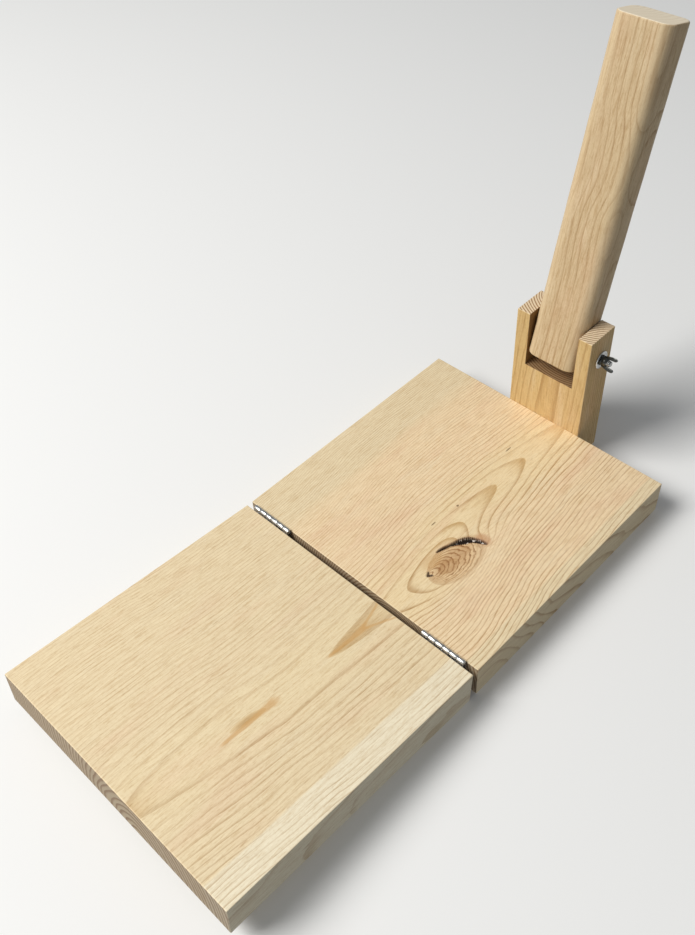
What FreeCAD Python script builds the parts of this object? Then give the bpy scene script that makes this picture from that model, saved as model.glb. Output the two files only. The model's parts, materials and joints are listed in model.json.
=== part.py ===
"""Hinged two-board lever press in pine, with a forked post, a hand lever and a wing nut.

Frame: +X to the right, +Y from the lid towards the lever post, +Z up.
Origin: centre of the base board's underside.  Millimetres.
"""
import FreeCAD, Part
import math
import os
import Sketcher

doc = FreeCAD.newDocument("lever_press")

# ---------------------------------------------------------------- driving dimensions
sheet = doc.addObject("Spreadsheet::Sheet", "Dimensions")
DIMENSIONS = [
    # boards: one wide 2x12 plank cut in two
    ("board_width", 285.75), ("board_thick", 38.1), ("board_ease", 0.9),
    ("base_length", 283.0), ("lid_length", 275.0), ("lid_lift", 4.1),
    # butt hinges between the two end faces
    ("hinge_length", 48.0), ("hinge_left_x", -110.6), ("hinge_right_x", 106.3),
    ("knuckle_radius", 2.5), ("knuckle_pitch", 8.0), ("knuckle_play", 0.35),
    ("notch_depth", 3.0), ("notch_overcut", 1.0), ("leaf_thick", 1.2), ("leaf_drop", 20.0),
    ("leaf_swage", 1.15), ("leaf_bend", 1.8), ("leaf_jog", 1.6), ("axis_rise", 0.5),
    ("pin_radius", 1.25), ("pin_play", 0.05), ("pin_crown", 0.5),
    # pan-head hinge screws
    ("hinge_screw_drop", 11.0), ("hinge_screw_pitch", 17.0), ("hinge_screw_radius", 1.55),
    ("hinge_screw_length", 16.0), ("hinge_screw_tip", 3.0), ("hinge_head_radius", 3.3),
    ("hinge_head_height", 2.15), ("hinge_screw_hole", 1.9), ("pilot_radius", 1.2), ("pilot_slack", 2.0),
    # forked post: 2x4 standing on end behind the base board
    ("post_width", 87.0), ("post_depth", 38.1), ("post_height", 158.75), ("post_ease", 0.8),
    ("slot_width", 57.0), ("slot_floor", 95.25), ("slot_overcut", 5.0),
    # screws that hold the post to the end grain of the base board
    ("post_screw_radius", 2.4), ("post_screw_head", 4.8), ("post_screw_length", 76.0),
    ("post_screw_span", 56.0), ("post_screw_low", 10.5), ("post_screw_rise", 17.0),
    ("post_screw_tip", 8.0), ("post_pilot_radius", 1.9), ("post_pilot_slack", 3.0),
    ("post_screw_bore", 2.5),
    # hand lever
    ("lever_width", 55.5), ("lever_thick", 40.0), ("lever_round", 11.5), ("lever_end_ease", 1.6),
    ("lever_above", 305.0), ("lever_below", 18.5), ("lever_tilt", 13.5), ("lever_bore_shift", 1.5),
    # carriage bolt, washer and wing nut
    ("pivot_y", 162.0), ("pivot_z", 128.3), ("bolt_radius", 3.15), ("bolt_play", 0.05),
    ("bolt_length", 99.0), ("bolt_point", 0.8), ("bolt_head_radius", 7.2), ("bolt_head_height", 3.6),
    ("bolt_neck", 6.3), ("bolt_neck_length", 4.0), ("ear_bore", 3.3),
    ("washer_radius", 9.4), ("washer_bore", 3.5), ("washer_thick", 1.6),
    ("nut_base_radius", 5.3), ("nut_top_radius", 4.3), ("nut_height", 6.4), ("nut_bore", 3.2),
    ("nut_clearance", 0.1), ("wing_root", 2.6), ("wing_reach", 7.4), ("wing_rise", 15.0),
    ("wing_thick", 2.2), ("wing_round", 1.9), ("wing_turn", 60.0), ("wing_inset", 0.8),
    ("wing_heel", 1.6), ("wing_heel_reach", 5.4), ("wing_tip_rise", 5.4), ("wing_tip_width", 3.8),
    ("wing_sink", 0.2),
]
sheet.Label = "Dimensions"
for row, (alias, value) in enumerate(DIMENSIONS, start=1):
    sheet.set(f"A{row}", alias)
    sheet.set(f"B{row}", str(value))
    sheet.setAlias(f"B{row}", alias)
doc.recompute()


def size(alias):
    """Value of one cell of the sheet."""
    return float(sheet.get(alias))


def cell(alias):
    """Reference to one cell of the sheet, for use in an expression."""
    return f"<<Dimensions>>.{alias}"


X_AXIS = FreeCAD.Vector(1, 0, 0)
Z_AXIS = FreeCAD.Vector(0, 0, 1)
THROUGH = "1000"                      # depth of a cut that passes right through a piece
LEAST_CUT = 0.1                       # cubic millimetres that any cut has to remove
SAME = 1e-6                           # two coordinates closer than this are one
nodes = []                            # every exported sub-part, in building order


# ---------------------------------------------------------------- helpers
def origin_part(body, role):
    """Origin plane or axis of a body, by its role."""
    return next(f for f in body.Origin.OriginFeatures if f.Role == role)


def new_body(label):
    body = doc.addObject("PartDesign::Body", "Body_" + label)
    body.Label = label
    nodes.append(body)
    return body


def new_sketch(body, role, name, offset=None):
    """Sketch on one of the body's own origin planes; offset maps placement fields to expressions."""
    sketch = body.newObject("Sketcher::SketchObject", f"{name}_{body.Label}")
    sketch.AttachmentSupport = [(origin_part(body, role), "")]
    sketch.MapMode = "FlatFace"
    for field, expression in (offset or {}).items():
        sketch.setExpression(f"AttachmentOffset.Base.{field}", expression)
    return sketch


def bind(sketch, kind, geometry, expression, name):
    """Add a named dimension to a sketch and bind it to the sheet."""
    index = sketch.addConstraint(Sketcher.Constraint(kind, *geometry))
    sketch.renameConstraint(index, name)
    sketch.setExpression(f"Constraints.{name}", expression)


def rectangle(sketch, x_low, x_high, y_low, y_high):
    """Axis-aligned rectangle; each limit is (start value, expression) measured from the origin."""
    (xa, ya), (xb, yb) = (x_low[0], y_low[0]), (x_high[0], y_high[0])
    corners = [(xa, ya), (xb, ya), (xb, yb), (xa, yb)]
    first = sketch.GeometryCount
    for i in range(4):
        a, b = corners[i], corners[(i + 1) % 4]
        sketch.addGeometry(Part.LineSegment(FreeCAD.Vector(*a, 0), FreeCAD.Vector(*b, 0)))
    for i in range(4):
        sketch.addConstraint(Sketcher.Constraint("Coincident", first + i, 2, first + (i + 1) % 4, 1))
        sketch.addConstraint(Sketcher.Constraint("Horizontal" if i % 2 == 0 else "Vertical", first + i))
    tag = f"r{first}_"
    bind(sketch, "DistanceX", (-1, 1, first, 1, xa), x_low[1], tag + "left")
    bind(sketch, "DistanceX", (-1, 1, first, 2, xb), x_high[1], tag + "right")
    bind(sketch, "DistanceY", (-1, 1, first, 1, ya), y_low[1], tag + "low")
    bind(sketch, "DistanceY", (-1, 1, first + 2, 1, yb), y_high[1], tag + "high")


def circle(sketch, x, y, radius, tag="c"):
    """Circle with bound centre and radius; x, y and radius are (start value, expression)."""
    centre = FreeCAD.Vector(x[0], y[0], 0)
    index = sketch.addGeometry(Part.Circle(centre, Z_AXIS, radius[0]))
    bind(sketch, "Radius", (index, radius[0]), radius[1], tag + "_radius")
    if x[1] == "0":
        sketch.addConstraint(Sketcher.Constraint("PointOnObject", index, 3, -2))
    else:
        bind(sketch, "DistanceX", (-1, 1, index, 3, x[0]), x[1], tag + "_x")
    if y[1] == "0":
        sketch.addConstraint(Sketcher.Constraint("PointOnObject", index, 3, -1))
    else:
        bind(sketch, "DistanceY", (-1, 1, index, 3, y[0]), y[1], tag + "_y")


def add_revolution(body, sketch, name, axis_line=None):
    """Full turn about one straight side of the profile, or about the body's X axis."""
    turned = body.newObject("PartDesign::Revolution", f"{name}_{body.Label}")
    if axis_line is not None:
        side = sketch.Geometry[axis_line]
        spindle = sketch.addGeometry(Part.LineSegment(side.StartPoint, side.EndPoint), True)
        sketch.addConstraint(Sketcher.Constraint("Coincident", spindle, 1, axis_line, 1))
        sketch.addConstraint(Sketcher.Constraint("Coincident", spindle, 2, axis_line, 2))
    turned.Profile = sketch
    turned.ReferenceAxis = (origin_part(body, "X_Axis"), [""]) if axis_line is None else (sketch, ["Axis0"])
    turned.Angle = 360
    doc.recompute()
    return turned


def add_pad(body, sketch, name, length, midplane=False, reverse=False):
    pad = body.newObject("PartDesign::Pad", f"{name}_{body.Label}")
    pad.Profile = sketch
    pad.setExpression("Length", length)
    pad.SideType = "Symmetric" if midplane else "One side"
    pad.Reversed = reverse
    sketch.Visibility = False
    doc.recompute()
    return pad


def add_pocket(body, sketch, name, length, reverse=False, midplane=False):
    """Pocket that has to remove material, or the build stops."""
    before = body.Shape.Volume
    pocket = body.newObject("PartDesign::Pocket", f"{name}_{body.Label}")
    pocket.Profile = sketch
    pocket.setExpression("Length", length)
    pocket.SideType = "Symmetric" if midplane else "One side"
    pocket.Reversed = reverse
    doc.recompute()
    if body.Shape.Volume > before - LEAST_CUT:
        raise RuntimeError(f"{pocket.Name} cuts nothing")
    return pocket


def add_pattern(body, feature, role, spacing, count):
    """Linear pattern of one feature along an axis of the body."""
    pattern = body.newObject("PartDesign::LinearPattern", f"Row_{feature.Name}")
    pattern.Originals = [feature]
    pattern.Direction = (origin_part(body, role), [""])
    pattern.Occurrences = count
    pattern.setExpression("Length", f"({spacing}) * {count - 1}")
    body.Tip = pattern
    doc.recompute()
    return pattern


def edges_where(body, test):
    """Names of the straight edges of a body whose two ends pass a test."""
    names = []
    for i, edge in enumerate(body.Shape.Edges, start=1):
        if len(edge.Vertexes) == 2 and isinstance(edge.Curve, Part.Line):
            if test(edge.Vertexes[0].Point, edge.Vertexes[1].Point):
                names.append(f"Edge{i}")
    return names


def add_fillet(body, names, radius, name):
    solid = body.Tip
    fillet = body.newObject("PartDesign::Fillet", f"{name}_{body.Label}")
    fillet.Base = (solid, names)
    fillet.setExpression("Radius", radius)
    doc.recompute()
    return fillet


def along(axis):
    """Test for an edge that runs along one axis."""
    others = [k for k in range(3) if k != axis]
    return lambda a, b: all(abs(a[k] - b[k]) < SAME for k in others)


# ---------------------------------------------------------------- places shared by the pieces
half_base = size("base_length") / 2
axis_z = size("board_thick") + size("axis_rise")
AXIS_Y = f"(-{cell('base_length')} / 2 - {cell('knuckle_radius')})"
AXIS_Z = f"({cell('board_thick')} + {cell('axis_rise')})"
HINGES = {"left_hinge": "hinge_left_x", "right_hinge": "hinge_right_x"}


def bind_place(obj, y_expression, z_expression, x_expression="0", turn=None):
    """Bind a sub-part's Placement; turn is an expression in degrees about X."""
    if turn is not None:
        obj.Placement.Rotation = FreeCAD.Rotation(X_AXIS, 1)
        obj.setExpression(".Placement.Rotation.Axis.x", "1")
        obj.setExpression(".Placement.Rotation.Axis.y", "0")
        obj.setExpression(".Placement.Rotation.Axis.z", "0")
        obj.setExpression(".Placement.Rotation.Angle", turn)
    obj.setExpression(".Placement.Base.x", x_expression)
    obj.setExpression(".Placement.Base.y", y_expression)
    obj.setExpression(".Placement.Base.z", z_expression)


def end_face(outward):
    """Distance from the hinge axis to a board's hinge end, as (value, expression).

    The base board touches the knuckles; the lid board is further off by the swage of its leaf.
    """
    if outward > 0:
        return size("knuckle_radius"), cell("knuckle_radius")
    return (size("knuckle_radius") + size("leaf_swage"),
            f"({cell('knuckle_radius')} + {cell('leaf_swage')})")


# ---------------------------------------------------------------- boards
def build_board(label, length_alias, outward):
    """Board drawn from the hinge axis.

    outward is +1 where the board runs towards +Y from the axis and -1 where it runs towards -Y.
    """
    body = new_body(label)
    face, face_text = end_face(outward)
    length, width = size(length_alias), size("board_width")
    near = (outward * face, f"{outward} * {face_text}")
    far = (outward * (face + length), f"{outward} * ({face_text} + {cell(length_alias)})")
    low, high = (near, far) if outward > 0 else (far, near)
    plan = new_sketch(body, "XY_Plane", "Plan", {"z": f"-{cell('axis_rise')}"})
    rectangle(plan, (-width / 2, f"-{cell('board_width')} / 2"), (width / 2, f"{cell('board_width')} / 2"),
              low, high)
    add_pad(body, plan, "Plank", cell("board_thick"), reverse=True)
    # eased arrises all round, as a hand sander leaves them
    add_fillet(body, edges_where(body, lambda a, b: True), cell("board_ease"), "Arris")
    # pilot holes for the hinge screws, from the hinge end face into the end grain
    drill = new_sketch(body, "XZ_Plane", "Pilots", {"z": f"{-outward} * {face_text}"})
    drop = (-size("hinge_screw_drop"), f"-{cell('hinge_screw_drop')}")
    for hinge, place in HINGES.items():
        for step in (-1, 0, 1):
            x = (size(place) + step * size("hinge_screw_pitch"),
                 f"{cell(place)} + ({step}) * {cell('hinge_screw_pitch')}")
            circle(drill, x, drop, (size("pilot_radius"), cell("pilot_radius")), f"{hinge}_{step + 1}")
    add_pocket(body, drill, "Pilot", f"{cell('hinge_screw_length')} + {cell('pilot_slack')}",
               reverse=(outward < 0))
    return body


POST_SCREW_PLACES = [(side, level) for level in (0, 1) for side in (-1, 1)]

base = build_board("base_board", "base_length", 1)
post_pilots = new_sketch(base, "XZ_Plane", "PostPilots",
                         {"z": f"-({cell('knuckle_radius')} + {cell('base_length')})"})
for side, level in POST_SCREW_PLACES:
    circle(post_pilots,
           (side * size("post_screw_span") / 2, f"({side}) * {cell('post_screw_span')} / 2"),
           (size("post_screw_low") + level * size("post_screw_rise") - axis_z,
            f"{cell('post_screw_low')} + {level} * {cell('post_screw_rise')} - {AXIS_Z}"),
           (size("post_pilot_radius"), cell("post_pilot_radius")), f"p{side + 1}{level}")
add_pocket(base, post_pilots, "PostPilot",
           f"{cell('post_screw_length')} - {cell('post_depth')} + {cell('post_pilot_slack')}", reverse=True)
bind_place(base, AXIS_Y, AXIS_Z)

lid = build_board("lid_board", "lid_length", -1)
bind_place(lid, AXIS_Y, AXIS_Z, turn=f"-{cell('lid_lift')}")


# ---------------------------------------------------------------- butt hinges
def draw_base_section(section):
    """Section of the base leaf: an arc of the barrel running straight down into the strip."""
    radius, thick, drop = size("knuckle_radius"), size("leaf_thick"), size("leaf_drop")
    inner = radius - thick
    meet = -math.sqrt(radius ** 2 - inner ** 2)
    barrel = Part.Circle(FreeCAD.Vector(0, 0, 0), Z_AXIS, radius)
    section.addGeometry(Part.ArcOfCircle(barrel, 0, math.atan2(meet, inner) + 2 * math.pi))
    points = [(inner, meet), (inner, -drop), (radius, -drop), (radius, 0)]
    for a, b in zip(points[:-1], points[1:]):
        section.addGeometry(Part.LineSegment(FreeCAD.Vector(*a, 0), FreeCAD.Vector(*b, 0)))
    join = [(0, 3, -1, 1), (0, 2, 1, 1), (1, 2, 2, 1), (2, 2, 3, 1), (3, 2, 0, 1)]
    for first in join:
        section.addConstraint(Sketcher.Constraint("Coincident", *first))
    section.addConstraint(Sketcher.Constraint("Vertical", 1))
    section.addConstraint(Sketcher.Constraint("Horizontal", 2))
    section.addConstraint(Sketcher.Constraint("Vertical", 3))
    section.addConstraint(Sketcher.Constraint("PointOnObject", 0, 1, -1))
    bind(section, "Radius", (0, radius), cell("knuckle_radius"), "barrel")
    bind(section, "DistanceY", (2, 1, -1, 1, drop), cell("leaf_drop"), "drop")
    bind(section, "DistanceX", (2, 1, 2, 2, thick), cell("leaf_thick"), "gauge")


def draw_lid_section(section):
    """Section of the lid leaf: swaged, so that its strip stands further from the pin."""
    radius, thick, drop = size("knuckle_radius"), size("leaf_thick"), size("leaf_drop")
    swage, bend, jog = size("leaf_swage"), size("leaf_bend"), size("leaf_jog")
    inner = radius - thick
    meet = -math.sqrt(radius ** 2 - inner ** 2)
    barrel = Part.Circle(FreeCAD.Vector(0, 0, 0), Z_AXIS, radius)
    section.addGeometry(Part.ArcOfCircle(barrel, math.atan2(meet, -inner), math.pi))
    points = [(-inner, meet), (-inner - swage, meet - jog), (-inner - swage, -drop), (-radius - swage, -drop),
              (-radius - swage, -bend - jog), (-radius, -bend), (-radius, 0)]
    for a, b in zip(points[:-1], points[1:]):
        section.addGeometry(Part.LineSegment(FreeCAD.Vector(*a, 0), FreeCAD.Vector(*b, 0)))
    join = [(0, 3, -1, 1), (0, 1, 1, 1), (1, 2, 2, 1), (2, 2, 3, 1), (3, 2, 4, 1), (4, 2, 5, 1), (5, 2, 6, 1),
            (6, 2, 0, 2)]
    for first in join:
        section.addConstraint(Sketcher.Constraint("Coincident", *first))
    for upright in (2, 4, 6):
        section.addConstraint(Sketcher.Constraint("Vertical", upright))
    section.addConstraint(Sketcher.Constraint("Horizontal", 3))
    section.addConstraint(Sketcher.Constraint("PointOnObject", 0, 2, -1))
    bind(section, "Radius", (0, radius), cell("knuckle_radius"), "barrel")
    bind(section, "DistanceY", (3, 1, -1, 1, drop), cell("leaf_drop"), "drop")
    bind(section, "DistanceX", (3, 2, 3, 1, thick), cell("leaf_thick"), "gauge")
    bind(section, "DistanceX", (0, 1, -1, 1, inner),
         f"{cell('knuckle_radius')} - {cell('leaf_thick')}", "roll")
    bind(section, "DistanceX", (1, 2, 1, 1, swage), cell("leaf_swage"), "swage")
    bind(section, "DistanceY", (1, 2, 1, 1, jog), cell("leaf_jog"), "inner_jog")
    bind(section, "DistanceY", (5, 1, 5, 2, jog), cell("leaf_jog"), "outer_jog")
    bind(section, "DistanceY", (5, 2, -1, 1, bend), cell("leaf_bend"), "bend")


def build_leaf(label, place, outward):
    """One leaf: a strip rolled into three knuckles round the pin, notched for the other leaf's."""
    body = new_body(label)
    # section on the YZ plane: sketch x is +Y, sketch y is +Z
    section = new_sketch(body, "YZ_Plane", "Section")
    if outward > 0:
        draw_base_section(section)
    else:
        draw_lid_section(section)
    add_pad(body, section, "Strip", cell("hinge_length"), midplane=True)
    # notches on the XZ plane: the base leaf keeps knuckles 0, 2 and 4, the lid leaf 1, 3 and 5
    notch = new_sketch(body, "XZ_Plane", "Notch")
    pitch, play, over = size("knuckle_pitch"), size("knuckle_play"), size("notch_overcut")
    first = 1 if outward > 0 else 0
    low = -size("hinge_length") / 2 + first * pitch
    low_text = f"-{cell('hinge_length')} / 2 + {first} * {cell('knuckle_pitch')}"
    left = (low - play / 2, f"{low_text} - {cell('knuckle_play')} / 2")
    right = (low + pitch + play / 2, f"{low_text} + {cell('knuckle_pitch')} + {cell('knuckle_play')} / 2")
    rectangle(notch, left, right, (-size("notch_depth"), f"-{cell('notch_depth')}"),
              (size("knuckle_radius") + over, f"{cell('knuckle_radius')} + {cell('notch_overcut')}"))
    cut = add_pocket(body, notch, "KnuckleGap", THROUGH, midplane=True)
    add_pattern(body, cut, "X_Axis", f"2 * {cell('knuckle_pitch')}", 3)
    # bore for the hinge pin
    bore = new_sketch(body, "YZ_Plane", "Bore")
    circle(bore, (0, "0"), (0, "0"),
           (size("pin_radius") + size("pin_play"), f"{cell('pin_radius')} + {cell('pin_play')}"))
    add_pocket(body, bore, "PinBore", THROUGH, midplane=True)
    # clearance holes for the three screws
    holes = new_sketch(body, "XZ_Plane", "ScrewHole")
    circle(holes, (-size("hinge_screw_pitch"), f"-{cell('hinge_screw_pitch')}"),
           (-size("hinge_screw_drop"), f"-{cell('hinge_screw_drop')}"),
           (size("hinge_screw_hole"), cell("hinge_screw_hole")))
    hole = add_pocket(body, holes, "ScrewHoles", THROUGH, midplane=True)
    add_pattern(body, hole, "X_Axis", cell("hinge_screw_pitch"), 3)
    bind_place(body, AXIS_Y, AXIS_Z, cell(place), None if outward > 0 else f"-{cell('lid_lift')}")


def build_pin(label, place):
    """Hinge pin with two slightly crowned ends."""
    body = new_body(label)
    section = new_sketch(body, "YZ_Plane", "Section")
    circle(section, (0, "0"), (0, "0"), (size("pin_radius"), cell("pin_radius")))
    add_pad(body, section, "Wire", cell("hinge_length"), midplane=True)
    rims = [f"Edge{i}" for i, e in enumerate(body.Shape.Edges, 1) if isinstance(e.Curve, Part.Circle)]
    add_fillet(body, rims, cell("pin_crown"), "Crown")
    bind_place(body, AXIS_Y, AXIS_Z, cell(place))


def build_hinge_screws(label, place, outward):
    """Three pan-head wood screws: a shank with a drill point, and a domed head on the leaf."""
    body = new_body(label)
    body.AllowCompound = True
    profile = new_sketch(body, "XY_Plane", "Profile", {"z": f"-{cell('hinge_screw_drop')}"})
    end, end_text = end_face(outward)
    face, face_text = end - size("leaf_thick"), f"{end_text} - {cell('leaf_thick')}"
    head_r, head_h = size("hinge_head_radius"), size("hinge_head_height")
    shank_r, length, taper = size("hinge_screw_radius"), size("hinge_screw_length"), size("hinge_screw_tip")
    s = outward
    # the profile is one half of the screw, revolved about the line sketch x = -pitch
    x0 = -size("hinge_screw_pitch")
    dome = (head_r ** 2 + head_h ** 2) / (2 * head_h)
    half = math.asin(head_r / dome)
    pts = [(x0, s * (face - head_h)), (x0 + head_r, s * face), (x0 + shank_r, s * face),
           (x0 + shank_r, s * (face + length - taper)), (x0, s * (face + length))]
    centre = FreeCAD.Vector(x0, s * (face - head_h + dome), 0)
    ball = Part.Circle(centre, Z_AXIS, dome)
    if s > 0:
        profile.addGeometry(Part.ArcOfCircle(ball, -math.pi / 2, -math.pi / 2 + half))
        crown, rim = 1, 2
    else:
        profile.addGeometry(Part.ArcOfCircle(ball, math.pi / 2 - half, math.pi / 2))
        crown, rim = 2, 1
    for a, b in zip(pts[1:], pts[2:] + pts[:1]):
        profile.addGeometry(Part.LineSegment(FreeCAD.Vector(*a, 0), FreeCAD.Vector(*b, 0)))
    join = [(0, rim, 1, 1), (1, 2, 2, 1), (2, 2, 3, 1), (3, 2, 4, 1), (4, 2, 0, crown)]
    for a, pa, b, pb in join:
        profile.addConstraint(Sketcher.Constraint("Coincident", a, pa, b, pb))
    profile.addConstraint(Sketcher.Constraint("Horizontal", 1))
    profile.addConstraint(Sketcher.Constraint("Vertical", 2))
    profile.addConstraint(Sketcher.Constraint("Vertical", 4))
    profile.addConstraint(Sketcher.Constraint("PointOnObject", 0, 3, 4))
    bind(profile, "DistanceX", (-1, 1, 4, 1, x0), f"-{cell('hinge_screw_pitch')}", "axis_x")
    reach = [("seat", 1, 1, s * face, f"{s} * ({face_text})"),
             ("top", 0, crown, s * (face - head_h), f"{s} * ({face_text} - {cell('hinge_head_height')})"),
             ("taper", 3, 1, s * (face + length - taper),
              f"{s} * ({face_text} + {cell('hinge_screw_length')} - {cell('hinge_screw_tip')})"),
             ("tip", 4, 1, s * (face + length), f"{s} * ({face_text} + {cell('hinge_screw_length')})")]
    for name, geometry, point, value, text in reach:
        bind(profile, "DistanceY", (-1, 1, geometry, point, value), text, name)
    bind(profile, "DistanceX", (4, 1, 1, 1, head_r), cell("hinge_head_radius"), "head")
    bind(profile, "DistanceX", (4, 1, 2, 1, shank_r), cell("hinge_screw_radius"), "shank")
    screw = add_revolution(body, profile, "Screw", 4)
    add_pattern(body, screw, "X_Axis", cell("hinge_screw_pitch"), 3)
    bind_place(body, AXIS_Y, AXIS_Z, cell(place), None if outward > 0 else f"-{cell('lid_lift')}")


for hinge, place in HINGES.items():
    build_leaf(hinge + "_base_leaf", place, 1)
    build_leaf(hinge + "_lid_leaf", place, -1)
    build_pin(hinge + "_pin", place)
    build_hinge_screws(hinge + "_base_screws", place, 1)
    build_hinge_screws(hinge + "_lid_screws", place, -1)


# ---------------------------------------------------------------- forked post
post = new_body("lever_post")
half_post = size("post_width") / 2
front = new_sketch(post, "XZ_Plane", "Front")
rectangle(front, (-half_post, f"-{cell('post_width')} / 2"), (half_post, f"{cell('post_width')} / 2"),
          (0, "0"), (size("post_height"), cell("post_height")))
add_pad(post, front, "Stud", cell("post_depth"), reverse=True)
add_fillet(post, edges_where(post, lambda a, b: True), cell("post_ease"), "Arris")
slot = new_sketch(post, "XZ_Plane", "Slot")
rectangle(slot, (-size("slot_width") / 2, f"-{cell('slot_width')} / 2"),
          (size("slot_width") / 2, f"{cell('slot_width')} / 2"),
          (size("slot_floor"), cell("slot_floor")),
          (size("post_height") + size("slot_overcut"), f"{cell('post_height')} + {cell('slot_overcut')}"))
add_pocket(post, slot, "Fork", THROUGH, midplane=True)
pivot = new_sketch(post, "YZ_Plane", "Pivot")
circle(pivot, (size("pivot_y") - half_base, f"{cell('pivot_y')} - {cell('base_length')} / 2"),
       (size("pivot_z"), cell("pivot_z")), (size("ear_bore"), cell("ear_bore")))
add_pocket(post, pivot, "BoltBore", THROUGH, midplane=True)
# square seat for the neck of the carriage bolt, in the left ear
seat = new_sketch(post, "YZ_Plane", "NeckSeat", {"z": f"-{cell('post_width')} / 2"})
neck = size("bolt_neck") / 2
rectangle(seat, (size("pivot_y") - half_base - neck,
                 f"{cell('pivot_y')} - {cell('base_length')} / 2 - {cell('bolt_neck')} / 2"),
          (size("pivot_y") - half_base + neck,
           f"{cell('pivot_y')} - {cell('base_length')} / 2 + {cell('bolt_neck')} / 2"),
          (size("pivot_z") - neck, f"{cell('pivot_z')} - {cell('bolt_neck')} / 2"),
          (size("pivot_z") + neck, f"{cell('pivot_z')} + {cell('bolt_neck')} / 2"))
add_pocket(post, seat, "Neck", cell("bolt_neck_length"), reverse=True)
# countersunk screw holes from the back face, low enough to reach the board's end grain
back = new_sketch(post, "XZ_Plane", "BackHoles", {"z": f"-{cell('post_depth')}"})
for side, level in POST_SCREW_PLACES:
    circle(back, (side * size("post_screw_span") / 2, f"({side}) * {cell('post_screw_span')} / 2"),
           (size("post_screw_low") + level * size("post_screw_rise"),
            f"{cell('post_screw_low')} + {level} * {cell('post_screw_rise')}"),
           (size("post_screw_bore"), cell("post_screw_bore")), f"p{side + 1}{level}")
doc.recompute()
before_holes = post.Shape.Volume
holes = post.newObject("PartDesign::Hole", "ScrewHoles_lever_post")
holes.Profile = back
doc.recompute()
holes.ThreadType = "None"
holes.DepthType = "ThroughAll"
holes.HoleCutType = "Countersink"
holes.HoleCutCustomValues = True
holes.setExpression("Diameter", f"2 * {cell('post_screw_bore')}")
holes.setExpression("HoleCutDiameter", f"2 * {cell('post_screw_head')}")
holes.HoleCutCountersinkAngle = 90
doc.recompute()
if post.Shape.Volume > before_holes - LEAST_CUT:
    holes.Reversed = not holes.Reversed
    doc.recompute()
if post.Shape.Volume > before_holes - LEAST_CUT:
    raise RuntimeError("post screw holes cut nothing")
bind_place(post, f"{cell('base_length')} / 2", "0")


# ---------------------------------------------------------------- post screws
post_screws = new_body("post_screws")
post_screws.AllowCompound = True
head_r, body_r = size("post_screw_head"), size("post_screw_radius")
screw_length, screw_tip = size("post_screw_length"), size("post_screw_tip")
side_view = new_sketch(post_screws, "XY_Plane", "Profile", {"z": cell("post_screw_low")})
sx = -size("post_screw_span") / 2
outline = [(sx, 0), (sx + head_r, 0), (sx + body_r, -(head_r - body_r)),
           (sx + body_r, -(screw_length - screw_tip)), (sx, -screw_length)]
for a, b in zip(outline, outline[1:] + outline[:1]):
    side_view.addGeometry(Part.LineSegment(FreeCAD.Vector(*a, 0), FreeCAD.Vector(*b, 0)))
for i in range(5):
    side_view.addConstraint(Sketcher.Constraint("Coincident", i, 2, (i + 1) % 5, 1))
side_view.addConstraint(Sketcher.Constraint("Horizontal", 0))
side_view.addConstraint(Sketcher.Constraint("Vertical", 2))
side_view.addConstraint(Sketcher.Constraint("Vertical", 4))
side_view.addConstraint(Sketcher.Constraint("PointOnObject", 0, 1, -1))
bind(side_view, "DistanceX", (-1, 1, 0, 1, sx), f"-{cell('post_screw_span')} / 2", "axis_x")
bind(side_view, "DistanceX", (0, 1, 0, 2, head_r), cell("post_screw_head"), "head")
bind(side_view, "DistanceX", (0, 1, 2, 1, body_r), cell("post_screw_radius"), "shank")
bind(side_view, "DistanceY", (2, 1, -1, 1, head_r - body_r),
     f"{cell('post_screw_head')} - {cell('post_screw_radius')}", "cone")
bind(side_view, "DistanceY", (4, 1, -1, 1, screw_length), cell("post_screw_length"), "tip")
bind(side_view, "DistanceY", (3, 1, -1, 1, screw_length - screw_tip),
     f"{cell('post_screw_length')} - {cell('post_screw_tip')}", "taper")
screw = add_revolution(post_screws, side_view, "Screw", 4)
grid = post_screws.newObject("PartDesign::MultiTransform", "Grid_post_screws")
grid.Originals = [screw]
across = post_screws.newObject("PartDesign::LinearPattern", "Across_post_screws")
across.Direction = (origin_part(post_screws, "X_Axis"), [""])
across.Occurrences = 2
across.setExpression("Length", cell("post_screw_span"))
upward = post_screws.newObject("PartDesign::LinearPattern", "Upward_post_screws")
upward.Direction = (origin_part(post_screws, "Z_Axis"), [""])
upward.Occurrences = 2
upward.setExpression("Length", cell("post_screw_rise"))
grid.Transformations = [across, upward]
post_screws.Tip = grid
doc.recompute()
bind_place(post_screws, f"{cell('base_length')} / 2 + {cell('post_depth')}", "0")


# ---------------------------------------------------------------- hand lever
lever = new_body("lever")
below, above = size("lever_below"), size("lever_above")
shift, half_thick, half_wide = size("lever_bore_shift"), size("lever_thick") / 2, size("lever_width") / 2
# drawn upright with the pivot at the origin, the blank's centreline a little in front of the bore
plan = new_sketch(lever, "XY_Plane", "Section", {"z": f"-{cell('lever_below')}"})
rectangle(plan, (-half_wide, f"-{cell('lever_width')} / 2"), (half_wide, f"{cell('lever_width')} / 2"),
          (-half_thick - shift, f"-{cell('lever_thick')} / 2 - {cell('lever_bore_shift')}"),
          (half_thick - shift, f"{cell('lever_thick')} / 2 - {cell('lever_bore_shift')}"))
add_pad(lever, plan, "Bar", f"{cell('lever_below')} + {cell('lever_above')}")
add_fillet(lever, edges_where(lever, along(2)), cell("lever_round"), "Grip")
rims = [f"Edge{i}" for i, e in enumerate(lever.Shape.Edges, 1) if not along(2)(e.Vertexes[0].Point,
                                                                                e.Vertexes[-1].Point)]
add_fillet(lever, rims, cell("lever_end_ease"), "Ends")
cross = new_sketch(lever, "YZ_Plane", "Bore")
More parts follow.
